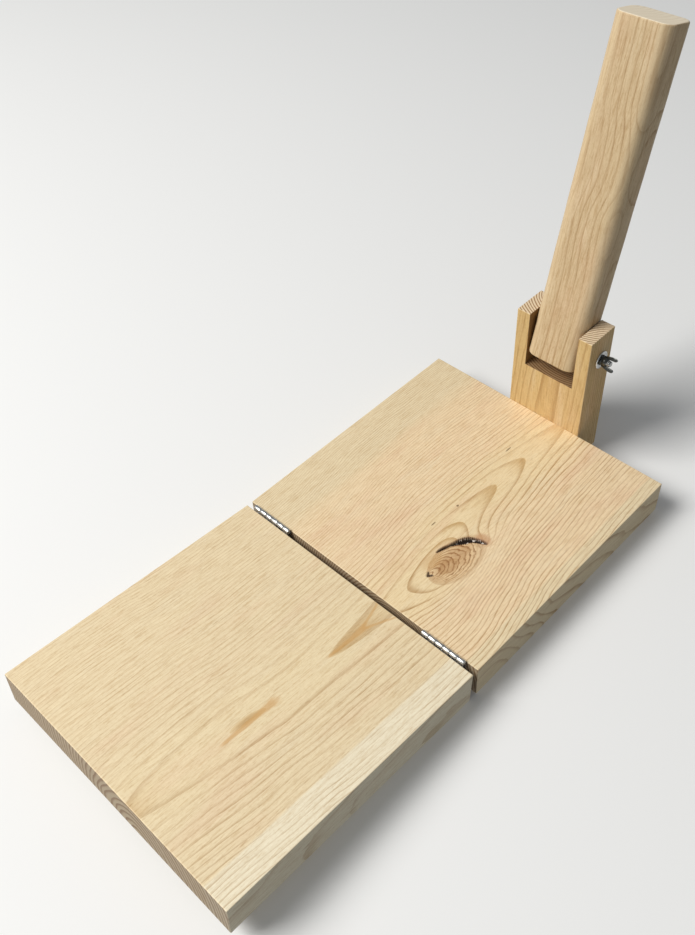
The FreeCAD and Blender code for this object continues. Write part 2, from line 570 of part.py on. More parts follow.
circle(cross, (0, "0"), (0, "0"),
       (size("bolt_radius") + size("bolt_play"), f"{cell('bolt_radius')} + {cell('bolt_play')}"))
add_pocket(lever, cross, "BoltBore", THROUGH, midplane=True)
bind_place(lever, cell("pivot_y"), cell("pivot_z"), turn=f"-{cell('lever_tilt')}")


# ---------------------------------------------------------------- carriage bolt, washer, wing nut
bolt = new_body("pivot_bolt")
shank = new_sketch(bolt, "YZ_Plane", "Shank", {"z": f"-{cell('post_width')} / 2"})
circle(shank, (0, "0"), (0, "0"), (size("bolt_radius"), cell("bolt_radius")))
add_pad(bolt, shank, "Shank", cell("bolt_length"))
tip_rim = [f"Edge{i}" for i, e in enumerate(bolt.Shape.Edges, 1)
           if isinstance(e.Curve, Part.Circle) and e.BoundBox.XMin > 0]
rod = bolt.Tip
tip = bolt.newObject("PartDesign::Chamfer", "Point_pivot_bolt")
tip.Base = (rod, tip_rim)
tip.setExpression("Size", cell("bolt_point"))
doc.recompute()
square = new_sketch(bolt, "YZ_Plane", "Neck", {"z": f"-{cell('post_width')} / 2"})
rectangle(square, (-neck, f"-{cell('bolt_neck')} / 2"), (neck, f"{cell('bolt_neck')} / 2"),
          (-neck, f"-{cell('bolt_neck')} / 2"), (neck, f"{cell('bolt_neck')} / 2"))
add_pad(bolt, square, "Neck", cell("bolt_neck_length"))
# domed head, revolved about the bolt axis: sketch on XY, x along the bolt
cap = new_sketch(bolt, "XY_Plane", "Head")
cap_r, cap_h = size("bolt_head_radius"), size("bolt_head_height")
cap_x = -size("post_width") / 2
ball_r = (cap_r ** 2 + cap_h ** 2) / (2 * cap_h)
spread = math.asin(cap_r / ball_r)
cap.addGeometry(Part.ArcOfCircle(Part.Circle(FreeCAD.Vector(cap_x - cap_h + ball_r, 0, 0), Z_AXIS, ball_r),
                                 math.pi - spread, math.pi))                          # 0
cap.addGeometry(Part.LineSegment(FreeCAD.Vector(cap_x - cap_h, 0, 0), FreeCAD.Vector(cap_x, 0, 0)))
cap.addGeometry(Part.LineSegment(FreeCAD.Vector(cap_x, 0, 0), FreeCAD.Vector(cap_x, cap_r, 0)))
cap.addConstraint(Sketcher.Constraint("Coincident", 0, 2, 1, 1))
cap.addConstraint(Sketcher.Constraint("Coincident", 1, 2, 2, 1))
cap.addConstraint(Sketcher.Constraint("Coincident", 2, 2, 0, 1))
cap.addConstraint(Sketcher.Constraint("PointOnObject", 0, 3, -1))
cap.addConstraint(Sketcher.Constraint("PointOnObject", 1, 1, -1))
cap.addConstraint(Sketcher.Constraint("Horizontal", 1))
cap.addConstraint(Sketcher.Constraint("Vertical", 2))
bind(cap, "DistanceX", (1, 2, -1, 1, -cap_x), f"{cell('post_width')} / 2", "ear_face")
bind(cap, "DistanceX", (1, 1, 1, 2, cap_h), cell("bolt_head_height"), "crown")
bind(cap, "DistanceY", (2, 1, 2, 2, cap_r), cell("bolt_head_radius"), "rim")
add_revolution(bolt, cap, "Head")
bind_place(bolt, cell("pivot_y"), cell("pivot_z"))

washer = new_body("bolt_washer")
ring = new_sketch(washer, "YZ_Plane", "Ring", {"z": f"{cell('post_width')} / 2"})
circle(ring, (0, "0"), (0, "0"), (size("washer_radius"), cell("washer_radius")), "outer")
circle(ring, (0, "0"), (0, "0"), (size("washer_bore"), cell("washer_bore")), "inner")
add_pad(washer, ring, "Disc", cell("washer_thick"))
bind_place(washer, cell("pivot_y"), cell("pivot_z"))

# the nut stands on the washer: a tapered boss with two rounded wings that rise outwards
nut = new_body("wing_nut")
NUT_FACE = f"({cell('post_width')} / 2 + {cell('washer_thick')} + {cell('nut_clearance')})"
nut_face = size("post_width") / 2 + size("washer_thick") + size("nut_clearance")
boss = new_sketch(nut, "XY_Plane", "Boss")
boss_h, base_r, top_r = size("nut_height"), size("nut_base_radius"), size("nut_top_radius")
trace = [(nut_face, 0), (nut_face + boss_h, 0), (nut_face + boss_h, top_r), (nut_face, base_r)]
for a, b in zip(trace, trace[1:] + trace[:1]):
    boss.addGeometry(Part.LineSegment(FreeCAD.Vector(*a, 0), FreeCAD.Vector(*b, 0)))
for i in range(4):
    boss.addConstraint(Sketcher.Constraint("Coincident", i, 2, (i + 1) % 4, 1))
boss.addConstraint(Sketcher.Constraint("PointOnObject", 0, 1, -1))
boss.addConstraint(Sketcher.Constraint("Horizontal", 0))
boss.addConstraint(Sketcher.Constraint("Vertical", 1))
boss.addConstraint(Sketcher.Constraint("Vertical", 3))
bind(boss, "DistanceX", (-1, 1, 0, 1, nut_face), NUT_FACE, "face")
bind(boss, "DistanceX", (0, 1, 0, 2, boss_h), cell("nut_height"), "height")
bind(boss, "DistanceY", (0, 1, 2, 1, top_r), cell("nut_top_radius"), "top")
bind(boss, "DistanceY", (0, 1, 3, 1, base_r), cell("nut_base_radius"), "foot")
add_revolution(nut, boss, "Boss")
wing = new_sketch(nut, "XY_Plane", "Wing")
root, reach, rise = size("wing_root"), size("wing_reach"), size("wing_rise")
corners = [(nut_face + size("wing_inset"), root), (nut_face + size("wing_heel"), size("wing_heel_reach")),
           (nut_face + rise - size("wing_tip_rise"), reach), (nut_face + rise, reach),
           (nut_face + rise, reach - size("wing_tip_width")), (nut_face + boss_h - size("wing_sink"), root)]
for a, b in zip(corners, corners[1:] + corners[:1]):
    wing.addGeometry(Part.LineSegment(FreeCAD.Vector(*a, 0), FreeCAD.Vector(*b, 0)))
for i in range(6):
    wing.addConstraint(Sketcher.Constraint("Coincident", i, 2, (i + 1) % 6, 1))
wing_texts = [(f"{NUT_FACE} + {cell('wing_inset')}", cell("wing_root")),
              (f"{NUT_FACE} + {cell('wing_heel')}", cell("wing_heel_reach")),
              (f"{NUT_FACE} + {cell('wing_rise')} - {cell('wing_tip_rise')}", cell("wing_reach")),
              (f"{NUT_FACE} + {cell('wing_rise')}", cell("wing_reach")),
              (f"{NUT_FACE} + {cell('wing_rise')}", f"{cell('wing_reach')} - {cell('wing_tip_width')}"),
              (f"{NUT_FACE} + {cell('nut_height')} - {cell('wing_sink')}", cell("wing_root"))]
for i, ((x, y), (x_text, y_text)) in enumerate(zip(corners, wing_texts)):
    bind(wing, "DistanceX", (-1, 1, i, 1, x), x_text, f"x{i}")
    bind(wing, "DistanceY", (-1, 1, i, 1, y), y_text, f"y{i}")
blade = add_pad(nut, wing, "Wing", cell("wing_thick"), midplane=True)
pair = nut.newObject("PartDesign::PolarPattern", "Wings_wing_nut")
pair.Originals = [blade]
pair.Axis = (origin_part(nut, "X_Axis"), [""])
pair.Angle = 360
pair.Occurrences = 2
nut.Tip = pair
doc.recompute()
half_wing = size("wing_thick") / 2
wing_tips = edges_where(nut, lambda a, b: abs(a.z + b.z) < SAME and abs(abs(a.z) - half_wing) < SAME
                        and a.x > nut_face + boss_h and min(abs(a.y), abs(b.y)) > top_r)
add_fillet(nut, wing_tips, cell("wing_round"), "WingTip")
thread = new_sketch(nut, "YZ_Plane", "Thread")
circle(thread, (0, "0"), (0, "0"), (size("nut_bore"), cell("nut_bore")))
add_pocket(nut, thread, "Thread", THROUGH, midplane=True)
bind_place(nut, cell("pivot_y"), cell("pivot_z"), turn=cell("wing_turn"))

doc.recompute()


# ---------------------------------------------------------------- checks and export
def check_document():
    for obj in doc.Objects:
        if "Invalid" in obj.State or "Error" in obj.State:
            raise RuntimeError(f"{obj.Name}: {obj.State}")
    for node in nodes:
        shape = node.Shape
        if shape.isNull() or not shape.isValid() or shape.Volume <= 0:
            raise RuntimeError(f"{node.Label}: bad shape")


check_document()
os.makedirs("parts", exist_ok=True)
for node in nodes:
    node.Shape.exportStep(os.path.join("parts", node.Label + ".step"))
    box = node.Shape.BoundBox
    print(f"{node.Label:28s} solids {len(node.Shape.Solids)} volume {node.Shape.Volume:11.1f}  "
          f"x {box.XMin:8.2f} {box.XMax:8.2f}  y {box.YMin:8.2f} {box.YMax:8.2f}  "
          f"z {box.ZMin:8.2f} {box.ZMax:8.2f}")
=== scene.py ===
import json
import math

import bmesh
import bpy
import numpy as np
from mathutils import Euler, Matrix, Vector


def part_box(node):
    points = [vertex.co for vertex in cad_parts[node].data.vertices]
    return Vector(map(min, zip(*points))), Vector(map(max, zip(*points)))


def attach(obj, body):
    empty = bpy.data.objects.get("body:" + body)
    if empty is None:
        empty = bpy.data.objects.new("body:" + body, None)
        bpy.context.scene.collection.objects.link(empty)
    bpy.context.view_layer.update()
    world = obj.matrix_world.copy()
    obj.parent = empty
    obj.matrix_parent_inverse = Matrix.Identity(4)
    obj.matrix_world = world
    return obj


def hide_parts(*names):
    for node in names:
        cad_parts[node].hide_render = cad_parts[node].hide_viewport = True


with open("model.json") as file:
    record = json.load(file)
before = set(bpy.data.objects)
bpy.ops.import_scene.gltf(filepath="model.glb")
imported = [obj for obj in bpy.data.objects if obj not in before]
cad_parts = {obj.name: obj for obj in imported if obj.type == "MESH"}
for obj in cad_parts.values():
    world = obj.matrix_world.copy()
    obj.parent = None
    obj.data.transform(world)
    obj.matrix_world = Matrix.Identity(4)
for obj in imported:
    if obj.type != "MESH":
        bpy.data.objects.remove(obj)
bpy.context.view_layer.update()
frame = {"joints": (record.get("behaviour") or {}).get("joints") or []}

MM = 0.001

# ------------------------------------------------------------------ studio
# A pale matt floor under the press, one large soft light from the front left and an even, slightly
# cool room.  The camera stands at the right front corner and looks down at the boards.
scene = bpy.context.scene
scene.view_settings.view_transform = "Standard"

FLOOR_HALF, FLOOR_WHITE, ROOM_BLUE = 15.0, (0.95, 0.95, 0.95, 1), (0.93, 0.97, 1.0, 1)
floor_mesh = bpy.data.meshes.new("floor")
floor_mesh.from_pydata([(-FLOOR_HALF, -FLOOR_HALF, 0), (FLOOR_HALF, -FLOOR_HALF, 0),
                        (FLOOR_HALF, FLOOR_HALF, 0), (-FLOOR_HALF, FLOOR_HALF, 0)], [], [(0, 1, 2, 3)])
floor = bpy.data.objects.new("floor", floor_mesh)
scene.collection.objects.link(floor)
floor.visible_diffuse = False
floor_paint = bpy.data.materials.new("floor_paint")
floor_paint.use_nodes = True
floor_shader = floor_paint.node_tree.nodes["Principled BSDF"]
floor_shader.inputs["Base Color"].default_value = FLOOR_WHITE
floor_shader.inputs["Roughness"].default_value = 0.9
floor_mesh.materials.append(floor_paint)

room = scene.world or bpy.data.worlds.new("room")
scene.world = room
room.use_nodes = True
room.node_tree.nodes["Background"].inputs["Color"].default_value = ROOM_BLUE
room.node_tree.nodes["Background"].inputs["Strength"].default_value = 0.24


def soft_light(name, place, aim, side, watts, colour=(1, 1, 1)):
    """Square area light at a place, turned to face a point."""
    lamp = bpy.data.lights.new(name, "AREA")
    lamp.shape = "SQUARE"
    lamp.size = side
    lamp.energy = watts
    lamp.color = colour
    holder = bpy.data.objects.new(name, lamp)
    holder.location = place
    holder.rotation_euler = (Vector(aim) - Vector(place)).to_track_quat("-Z", "Y").to_euler()
    scene.collection.objects.link(holder)


soft_light("key", (-1.47, -2.175, 3.0), (0, 0, 0.1), 1.95, 143, (1.0, 0.985, 0.95))

CAMERA_PLACE = Vector((0.4079, -0.5190, 0.7858))
CAMERA_AIM = Vector((-0.0426, -0.1025, 0.1273))
CAMERA_ROLL = math.radians(-4.361)
camera_data = bpy.data.cameras.new("camera")
camera_data.sensor_width = 36
camera_data.lens = 38.856
camera_data.clip_start = 0.01
camera = bpy.data.objects.new("camera", camera_data)
forward = (CAMERA_AIM - CAMERA_PLACE).normalized()
level = forward.cross(Vector((0, 0, 1))).normalized()
rise = level.cross(forward)
right = level * math.cos(CAMERA_ROLL) + rise * math.sin(CAMERA_ROLL)
upward = right.cross(forward)
camera_turn = Matrix((right, upward, -forward)).transposed().to_4x4()
camera.matrix_world = Matrix.Translation(CAMERA_PLACE) @ camera_turn
scene.collection.objects.link(camera)
scene.camera = camera


# ------------------------------------------------------------------ base board
# The bed of the press: one wide flat-sawn pine plank, planed and sanded, with the heart of the tree
# just under its lower face and one knot with an open bark gap.  It lies flat on the table.
class Reading:
    """One number running through a material, so that a pattern can be written as arithmetic."""

    def __init__(self, tree, socket):
        self.tree, self.socket = tree, socket

    def work(self, operation, *others, clamp=False):
        node = self.tree.nodes.new("ShaderNodeMath")
        node.operation, node.use_clamp = operation, clamp
        for place, value in zip(node.inputs, (self,) + others):
            if isinstance(value, Reading):
                self.tree.links.new(value.socket, place)
            else:
                place.default_value = value
        return Reading(self.tree, node.outputs[0])

    def __add__(self, other):
        return self.work("ADD", other)

    def __sub__(self, other):
        return self.work("SUBTRACT", other)

    def __mul__(self, other):
        return self.work("MULTIPLY", other)

    def __truediv__(self, other):
        return self.work("DIVIDE", other)

    def root(self):
        return self.work("SQRT")

    def magnitude(self):
        return self.work("ABSOLUTE")

    def fraction(self):
        return self.work("FRACT")

    def at_most(self, other):
        return self.work("MINIMUM", other)

    def at_least(self, other):
        return self.work("MAXIMUM", other)

    def step(self, low, high):
        """Smooth rise from 0 at low to 1 at high."""
        node = self.tree.nodes.new("ShaderNodeMapRange")
        node.interpolation_type = "SMOOTHSTEP"
        self.tree.links.new(self.socket, node.inputs["Value"])
        flip = low > high
        for label, value in zip(("From Min", "From Max"), (high, low) if flip else (low, high)):
            node.inputs[label].default_value = value
        node.inputs["To Min"].default_value = 1.0 if flip else 0.0
        node.inputs["To Max"].default_value = 0.0 if flip else 1.0
        return Reading(self.tree, node.outputs["Result"])


class Paint:
    """A material under construction: places on the piece, noises, colours and the final shader."""

    def __init__(self, name):
        self.material = bpy.data.materials.new(name)
        self.material.use_nodes = True
        self.tree = self.material.node_tree
        self.shader = self.tree.nodes["Principled BSDF"]
        self.colour = None

    def new(self, kind, **settings):
        node = self.tree.nodes.new(kind)
        for key, value in settings.items():
            setattr(node, key, value)
        return node

    def place(self, turn=(0, 0, 0), origin=(0, 0, 0)):
        """Object place in millimetres, moved to an origin and turned about it."""
        rotation = Euler(turn)
        mapping = self.new("ShaderNodeMapping", vector_type="POINT")
        spot = self.new("ShaderNodeTexCoord").outputs["Object"]
        self.tree.links.new(spot, mapping.inputs["Vector"])
        mapping.inputs["Scale"].default_value = (1000, 1000, 1000)
        mapping.inputs["Rotation"].default_value = rotation
        shift = rotation.to_matrix() @ Vector(origin) * -1000
        mapping.inputs["Location"].default_value = shift
        return mapping.outputs["Vector"]

    def split(self, vector):
        node = self.new("ShaderNodeSeparateXYZ")
        self.tree.links.new(vector, node.inputs[0])
        return [Reading(self.tree, s) for s in node.outputs]

    def join(self, x, y, z):
        node = self.new("ShaderNodeCombineXYZ")
        for socket, value in zip(node.inputs, (x, y, z)):
            if isinstance(value, Reading):
                self.tree.links.new(value.socket, socket)
            else:
                socket.default_value = value
        return node.outputs[0]

    def noise(self, vector, scale=1.0, stretch=(1, 1, 1), detail=2.0, roughness=0.5, shift=(0, 0, 0)):
        """Noise from 0 to 1 whose grains are stretch times longer than 1/scale millimetres."""
        mapping = self.new("ShaderNodeMapping")
        self.tree.links.new(vector, mapping.inputs["Vector"])
        mapping.inputs["Scale"].default_value = [scale / s for s in stretch]
        mapping.inputs["Location"].default_value = shift
        node = self.new("ShaderNodeTexNoise")
        self.tree.links.new(mapping.outputs[0], node.inputs["Vector"])
        node.inputs["Scale"].default_value = 1.0
        node.inputs["Detail"].default_value = detail
        node.inputs["Roughness"].default_value = roughness
        return Reading(self.tree, node.outputs["Fac"])

    def curve(self, reading, points, low, high):
        """Reading drawn through a smooth curve of (input, output) points, between two input limits."""
        node = self.new("ShaderNodeFloatCurve")
        values = [v for _, v in points]
        bottom, span = min(values), max(max(values) - min(values), 1e-6)
        line = node.mapping.curves[0]
        scaled = [((x - low) / (high - low), (v - bottom) / span) for x, v in points]
        line.points[0].location, line.points[-1].location = scaled[0], scaled[-1]
        for point in scaled[1:-1]:
            line.points.new(*point)
        node.mapping.update()
        self.tree.links.new(((reading - low) / (high - low)).socket, node.inputs["Value"])
        return Reading(self.tree, node.outputs[0]) * span + bottom

    def attribute(self, name):
        node = self.new("ShaderNodeAttribute", attribute_name=name)
        return Reading(self.tree, node.outputs["Fac"])

    def tint(self, amount, colour, mode="MIX"):
        """Lay a colour over the colour so far, by a reading or a number."""
        if self.colour is None:
            node = self.new("ShaderNodeRGB")
            node.outputs[0].default_value = (*colour, 1)
            self.colour = node.outputs[0]
            return
        node = self.new("ShaderNodeMix", data_type="RGBA", blend_type=mode)
        factor, first, second = node.inputs[0], node.inputs[6], node.inputs[7]
        if isinstance(amount, Reading):
            self.tree.links.new(amount.socket, factor)
        else:
            factor.default_value = amount
        self.tree.links.new(self.colour, first)
        second.default_value = (*colour, 1)
        self.colour = node.outputs[2]

    def stain(self, amount, colour):
        """Multiply the colour so far, as a thin stain does."""
        self.tint(amount, colour, "MULTIPLY")

    def finish(self, roughness, height, depth):
        """Wire colour, roughness and a relief given in millimetres."""
        self.tree.links.new(self.colour, self.shader.inputs["Base Color"])
        if isinstance(roughness, Reading):
            self.tree.links.new(roughness.socket, self.shader.inputs["Roughness"])
        else:
            self.shader.inputs["Roughness"].default_value = roughness
        bump = self.new("ShaderNodeBump")
        bump.inputs["Strength"].default_value = 1.0
        bump.inputs["Distance"].default_value = depth * MM
        self.tree.links.new(height.socket, bump.inputs["Height"])
        self.tree.links.new(bump.outputs[0], self.shader.inputs["Normal"])
        return self.material


def srgb(*levels):
    """Colour written as 0-255 screen levels, turned to linear light."""
    return tuple((v / 255 / 12.92) if v <= 10 else ((v / 255 + 0.055) / 1.055) ** 2.4 for v in levels)


LATEWOOD = (0.60, 0.47, 0.34)
SAWN_END = (srgb(164, 146, 122), 0.74)
ROSE, PALE = srgb(234, 186, 154), srgb(244, 226, 192)
HONEY, RESIN, FLECK = srgb(214, 172, 104), srgb(216, 166, 100), srgb(112, 84, 52)
RING_WANDER = 1.4


class Pine(Paint):
    """Bare planed pine, solid through the piece: growth rings first, sanding marks last."""

    def __init__(self, name, turn, origin, seed):
        super().__init__(name)
        self.seed = seed
        self.spot = self.place(turn, origin)
        self.across, self.along, self.depth = self.split(self.spot)

    def grain(self, size, long, detail, roughness, shift):
        """Noise with grains of a size in millimetres, drawn out along the board."""
        return self.noise(self.spot, 1 / size, (1, long, 1), detail, roughness, shift)

    def within(self, x, y, half_wide, half_long):
        """Squared distance from a spot on the face, 1 on the edge of an oval round it."""
        sx = (self.across - x) / half_wide
        sy = (self.along - y) / half_long
        return sx * sx + sy * sy

    def grow(self, heart, wander, knot):
        """Count the growth rings at every point.

        heart is (centre line, ring line, depth, squash, ring law): where the cathedral's middle runs,
        how many rings lie under it along the board, how deep the tree's heart is, and how the count
        grows to both sides.
        """
        centre_line, ring_line, heart_depth, squash, (first, second, left_extra) = heart
        sway = self.grain(60, 3.0, 2.0, 0.5, (self.seed, 0, 0)) - 0.5
        self.shiver = self.grain(9, 3.4, 2.0, 0.6, (self.seed, 9, 1)) - 0.5
        centre = self.curve(self.along, centre_line, centre_line[0][0], centre_line[-1][0])
        self.side = self.across - centre
        outer = self.side.magnitude().step(8, 40)
        off_x = (self.side + sway * outer * 12 + self.shiver * (outer * 1.3 + 0.5)) * squash
        off_z = self.depth + heart_depth
        if knot is not None:
            rho = self.within(*knot).root()
            # the grain swings round the right side of the knot
            push = (rho * rho * -0.40).work("EXPONENT") * (self.across - knot[0] + 4).step(-6, 14)
            off_x = off_x - push * 17 * squash
        reach = (off_x * off_x + off_z * off_z).root() - heart_depth
        self.leftness = self.side.step(-6, -50)
        path = self.join(reach, self.seed * 7.0, self.along * 0.02)
        drift = self.noise(path, 1 / 16, (1, 1, 1), 1.0) - 0.5
        start = self.curve(self.along, ring_line, ring_line[0][0], ring_line[-1][0])
        count = start + reach * first + reach * reach * second
        count = count + self.leftness * reach * reach * left_extra + drift * outer * wander
        if knot is not None:
            count = count - (rho * rho * -0.5).work("EXPONENT") * 2.6
        self.phase = (count + 64).fraction()
        self.late = self.phase.step(0.55, 0.95).work("POWER", 2.0) * self.phase.step(1.0, 0.97)
        self.uneven = self.grain(7, 9, 2.0, 0.65, (0, 0, self.seed))

    def colour_wood(self, colours, zones, rosiness, line_strength, arches):
        """Sapwood at the edges, heartwood between, rosy and pale patches, then the ring lines.

        zones is (left sapwood edge, right sapwood edge), measured across; arches is how strongly the
        rings that lie flat in the face show.
        """
        sap, heartwood, cathedral = colours
        left, right_edge = zones
        blur = (self.grain(30, 9, 2.0, 0.5, (self.seed, 5, 0)) - 0.5) * 26
        self.inner = (self.across + blur).step(left - 14, left + 14)
        self.inner = self.inner * (self.across + blur * 0.25).step(right_edge + 1.5, right_edge - 1.5)
        self.tint(1.0, sap)
        self.tint(self.inner, heartwood)
        self.tint((self.side + blur * 0.3).magnitude().step(44, 16) * 0.85, cathedral)
        rosy = self.grain(26, 5, 2.5, 0.55, (self.seed, 0, 11)).step(0.48, 0.70)
        self.tint(rosy * self.inner * rosiness, ROSE)
        pale = self.grain(12, 6, 2.0, 0.55, (4, self.seed, 11)).step(0.50, 0.75)
        self.tint(pale * 0.30, PALE)
        patchy = self.grain(34, 4, 1.0, 0.5, (2, self.seed, 0)).step(0.30, 0.62)
        line = self.late * (self.uneven * 1.4 + 0.2) * (patchy * 0.5 + 0.5)
        line = line * (self.leftness * -0.30 + 1) * line_strength
        self.stain(line.at_most(1.0), LATEWOOD)
        # arches, where a ring lies nearly flat in the face, show as a wide honey-brown tip
        flat = self.side.magnitude().step(11, 3) * self.phase.step(0.35, 0.98) * arches
        self.tint(flat * 0.34, HONEY)

    def add_fibres(self, grit):
        """Lengthwise fibres, short dark pores and a fine sanded mottle."""
        self.fibre = self.grain(1 / 0.62, 14, 3.0, 0.8, (self.seed, 0, 0))
        self.stain(self.fibre.step(0.48, 0.66) * 0.62 * grit, (0.80, 0.71, 0.60))
        self.stain(self.fibre.step(0.50, 0.34) * 0.60 * grit, (1.10, 1.12, 1.14))
        pores = self.grain(1 / 0.55, 8, 1.0, 0.5, (3, self.seed, 0)).step(0.66, 0.74)
        self.stain(pores * 0.32 * (self.inner * 0.7 + 0.3), (0.62, 0.50, 0.38))
        self.mottle = self.grain(1.7, 1.8, 3.0, 0.75, (9, self.seed, 2))
        self.stain(self.mottle.step(0.50, 0.68) * 0.42 * grit, (0.84, 0.79, 0.72))
        self.stain(self.mottle.step(0.48, 0.34) * 0.40 * grit, (1.07, 1.08, 1.10))

    def add_streak(self, route, half_wide, strength):
        """One resin-brown streak between two points, as wide at each end as half_wide says."""
        (x0, y0), (x1, y1) = route
        t = ((self.along - y0) / (y1 - y0)).at_least(0.0).at_most(1.0)
        line_x = t * (x1 - x0) + x0
        taper = (t * (1 / half_wide[1] - 1 / half_wide[0])) + 1 / half_wide[0]
        beside = (self.across - line_x + self.shiver * 3.0).magnitude() * taper
        ragged = self.shiver * 9
        ends = (self.along - y0 + ragged).step(5, -5) * (self.along - y1 + ragged).step(-5, 5)
        shape = (beside + (self.mottle - 0.5) * 1.1).step(1.25, 0.5) * ends
        self.tint(shape * strength, RESIN)

    def add_fleck(self, x, y, half_wide, half_long):
        """One small dark speck."""
        spotted = (self.within(x, y, half_wide, half_long) + (self.mottle - 0.5)).step(1.1, 0.5)
        self.tint(spotted * 0.75, FLECK)

    def add_knot(self, knot):
        """Nested flame-shaped rings that all touch the knot's own heart, and its open bark gap."""
        knot_x, knot_y, knot_a, knot_b = knot
        heart_x, heart_y = KNOT_TIP
        ex, ey = (knot_x - heart_x) / knot_a, (knot_y - heart_y) / knot_b
        swirl = self.grain(7, 2.0, 3.0, 0.65, (1, 2, 3)) - 0.5
        ux = (self.across - heart_x + swirl * 3.2) / knot_a
        uy = (self.along - heart_y + swirl * 2.0) / knot_b
        lean = ux * ex + uy * ey
        free = 1 - ex * ex - ey * ey
        flame = ((lean * lean + (ux * ux + uy * uy) * free).root() - lean) / free
        inside = flame.step(1.16, 0.78)
        rings = (flame * 10.0 + swirl * 1.1).fraction()
        line = rings.step(0.50, 0.88) * rings.step(1.0, 0.93)
        self.tint(inside * 0.55, srgb(230, 190, 140))
        self.stain(inside * line * (self.uneven * 1.2 + 0.3) * 0.95, (0.40, 0.26, 0.17))
        kx = (self.across - knot_x) / knot_a + 0.1
        ky = (self.along - knot_y) / knot_b
        core = (ky * ky + kx * kx * 1.6 + swirl * 1.6).step(0.75, 0.05)
        self.tint(inside * core * 0.45, srgb(182, 132, 84))
        whorl = self.grain(3.0, 2.2, 3.0, 0.7, (8, 2, 3)).step(0.54, 0.64)
        self.stain(inside * whorl * 0.45, (0.60, 0.45, 0.32))
        rim = flame.step(0.90, 1.0) * flame.step(1.10, 1.02)
        self.tint(rim * (swirl + 0.5).at_least(0.0).at_most(1.0) * 0.45, srgb(168, 120, 70))
        # brown weeping at the right end of the gap and beside its left end
        for oval, strength, colour in KNOT_STAINS:
            shape = (self.within(*oval) + swirl * 1.2).step(1.2, 0.1)
            self.tint(shape * strength, colour)
        edge = self.attribute("gap_edge")
        self.tint(edge * (swirl + 0.8).at_most(1.0) * 0.85, srgb(112, 64, 38))
        self.tint(self.attribute("knot_heart") * 0.95, srgb(58, 40, 28))
        # the bark gap: near black for dark bark together with painted shade in the deep crack; the white
        # specks along its lower end are painted glints
        gap = self.attribute("bark_gap")
        self.tint(gap, srgb(30, 18, 12))
        glint = self.grain(2.0, 1.4, 1.0, 0.5, (7, 1, 5)).step(0.60, 0.64)
        self.tint(gap * glint * self.along.step(92, 100) * 0.9, srgb(244, 232, 220))
        return inside, gap

    def saw_ends(self, end_axis, end_wood, end_lines):
        """Sawn ends: another tone, the rings cut across, and fine saw marks, returned as relief."""
        facing = self.split(self.new("ShaderNodeTexCoord").outputs["Normal"])[end_axis].magnitude()
        cut = facing.step(0.80, 0.97)
        end_colour, end_amount = end_wood
        self.tint(cut * end_amount, end_colour)
        ring = self.phase.step(0.40, 0.78) * self.phase.step(1.0, 0.92)
        self.stain(cut * ring * end_lines, (0.44, 0.29, 0.19))
        saw = self.noise(self.spot, 1.0, (1, 1, 7), 2.0, 0.6, (self.seed, 1, 1))
        self.stain(cut * saw.step(0.45, 0.75) * end_lines * 0.50, (0.74, 0.68, 0.60))
        return cut * saw * 1.2


def pine(name, turn, origin, heart, zones, seed, colours, line_strength, knot=None, streaks=(), flecks=(),
         end_axis=1, end_wood=SAWN_END, end_lines=0.75, rosiness=0.26, grit=1.0):
    """Pine for one piece; the turn and the origin lay its grain along the piece."""
    wood = Pine(name, turn, origin, seed)
    wood.grow(heart, RING_WANDER, knot)
    arches = 1.0 if knot is None else wood.along.step(40, 100)
    wood.colour_wood(colours, zones, rosiness, line_strength, arches)
    wood.add_fibres(grit)
    for streak in streaks:
        wood.add_streak(*streak)
    for fleck in flecks:
        wood.add_fleck(*fleck)
    rough = wood.mottle * 0.14 + 0.50
    relief = wood.late * -0.5 + wood.fibre * 0.9 + wood.mottle * 0.5
    if knot is not None:
        inside, gap = wood.add_knot(knot)
        relief = relief * (inside * 1.2 + 1)
        rough = rough * (gap * -0.35 + 1)
    # eased arrises, burnished by the sander and by hands: smoother, and lighter in colour
    # partly from the burnish and partly as a painted highlight along the edges
    arris = wood.attribute("arris")
    wood.tint(arris * 0.28, srgb(246, 224, 184))
    relief = relief + wood.saw_ends(end_axis, end_wood, end_lines)
    # painted shade: the walls and floor of the slot sawn into the post are darkened where the lever and the
    # ears shade them
    wood.stain(wood.attribute("slot_shade") * 0.92, (0.30, 0.22, 0.14))
    wood.shader.inputs["Specular IOR Level"].default_value = 0.35
    return wood.finish(rough - arris * 0.10, relief, 0.04)


CELL, BESIDE_VOID = 8 * MM, (-0.3 * MM, 0, 0.3 * MM)
TOUCH, NOTHING = 1e-5, 1e-9
EASE_WAVES = [((61, 43, 90), 0.3), ((140, -95, 210), 1.7), ((-310, 260, 400), 4.0)]


def new_piece(name, mesh):
    """Object in the scene for a mesh."""
    piece = bpy.data.objects.new(name, mesh)
    scene.collection.objects.link(piece)
    return piece


def write_values(mesh, label, values):
    """Store one number a point on a mesh, for a material to read."""
    layer = mesh.attributes.get(label) or mesh.attributes.new(label, "FLOAT", "POINT")
    layer.data.foreach_set("value", np.asarray(values, np.float32))


def points_of(mesh):
    """Places of a mesh's points, one row each."""
    spots = np.empty(len(mesh.vertices) * 3)
    mesh.vertices.foreach_get("co", spots)
    return spots.reshape(-1, 3)


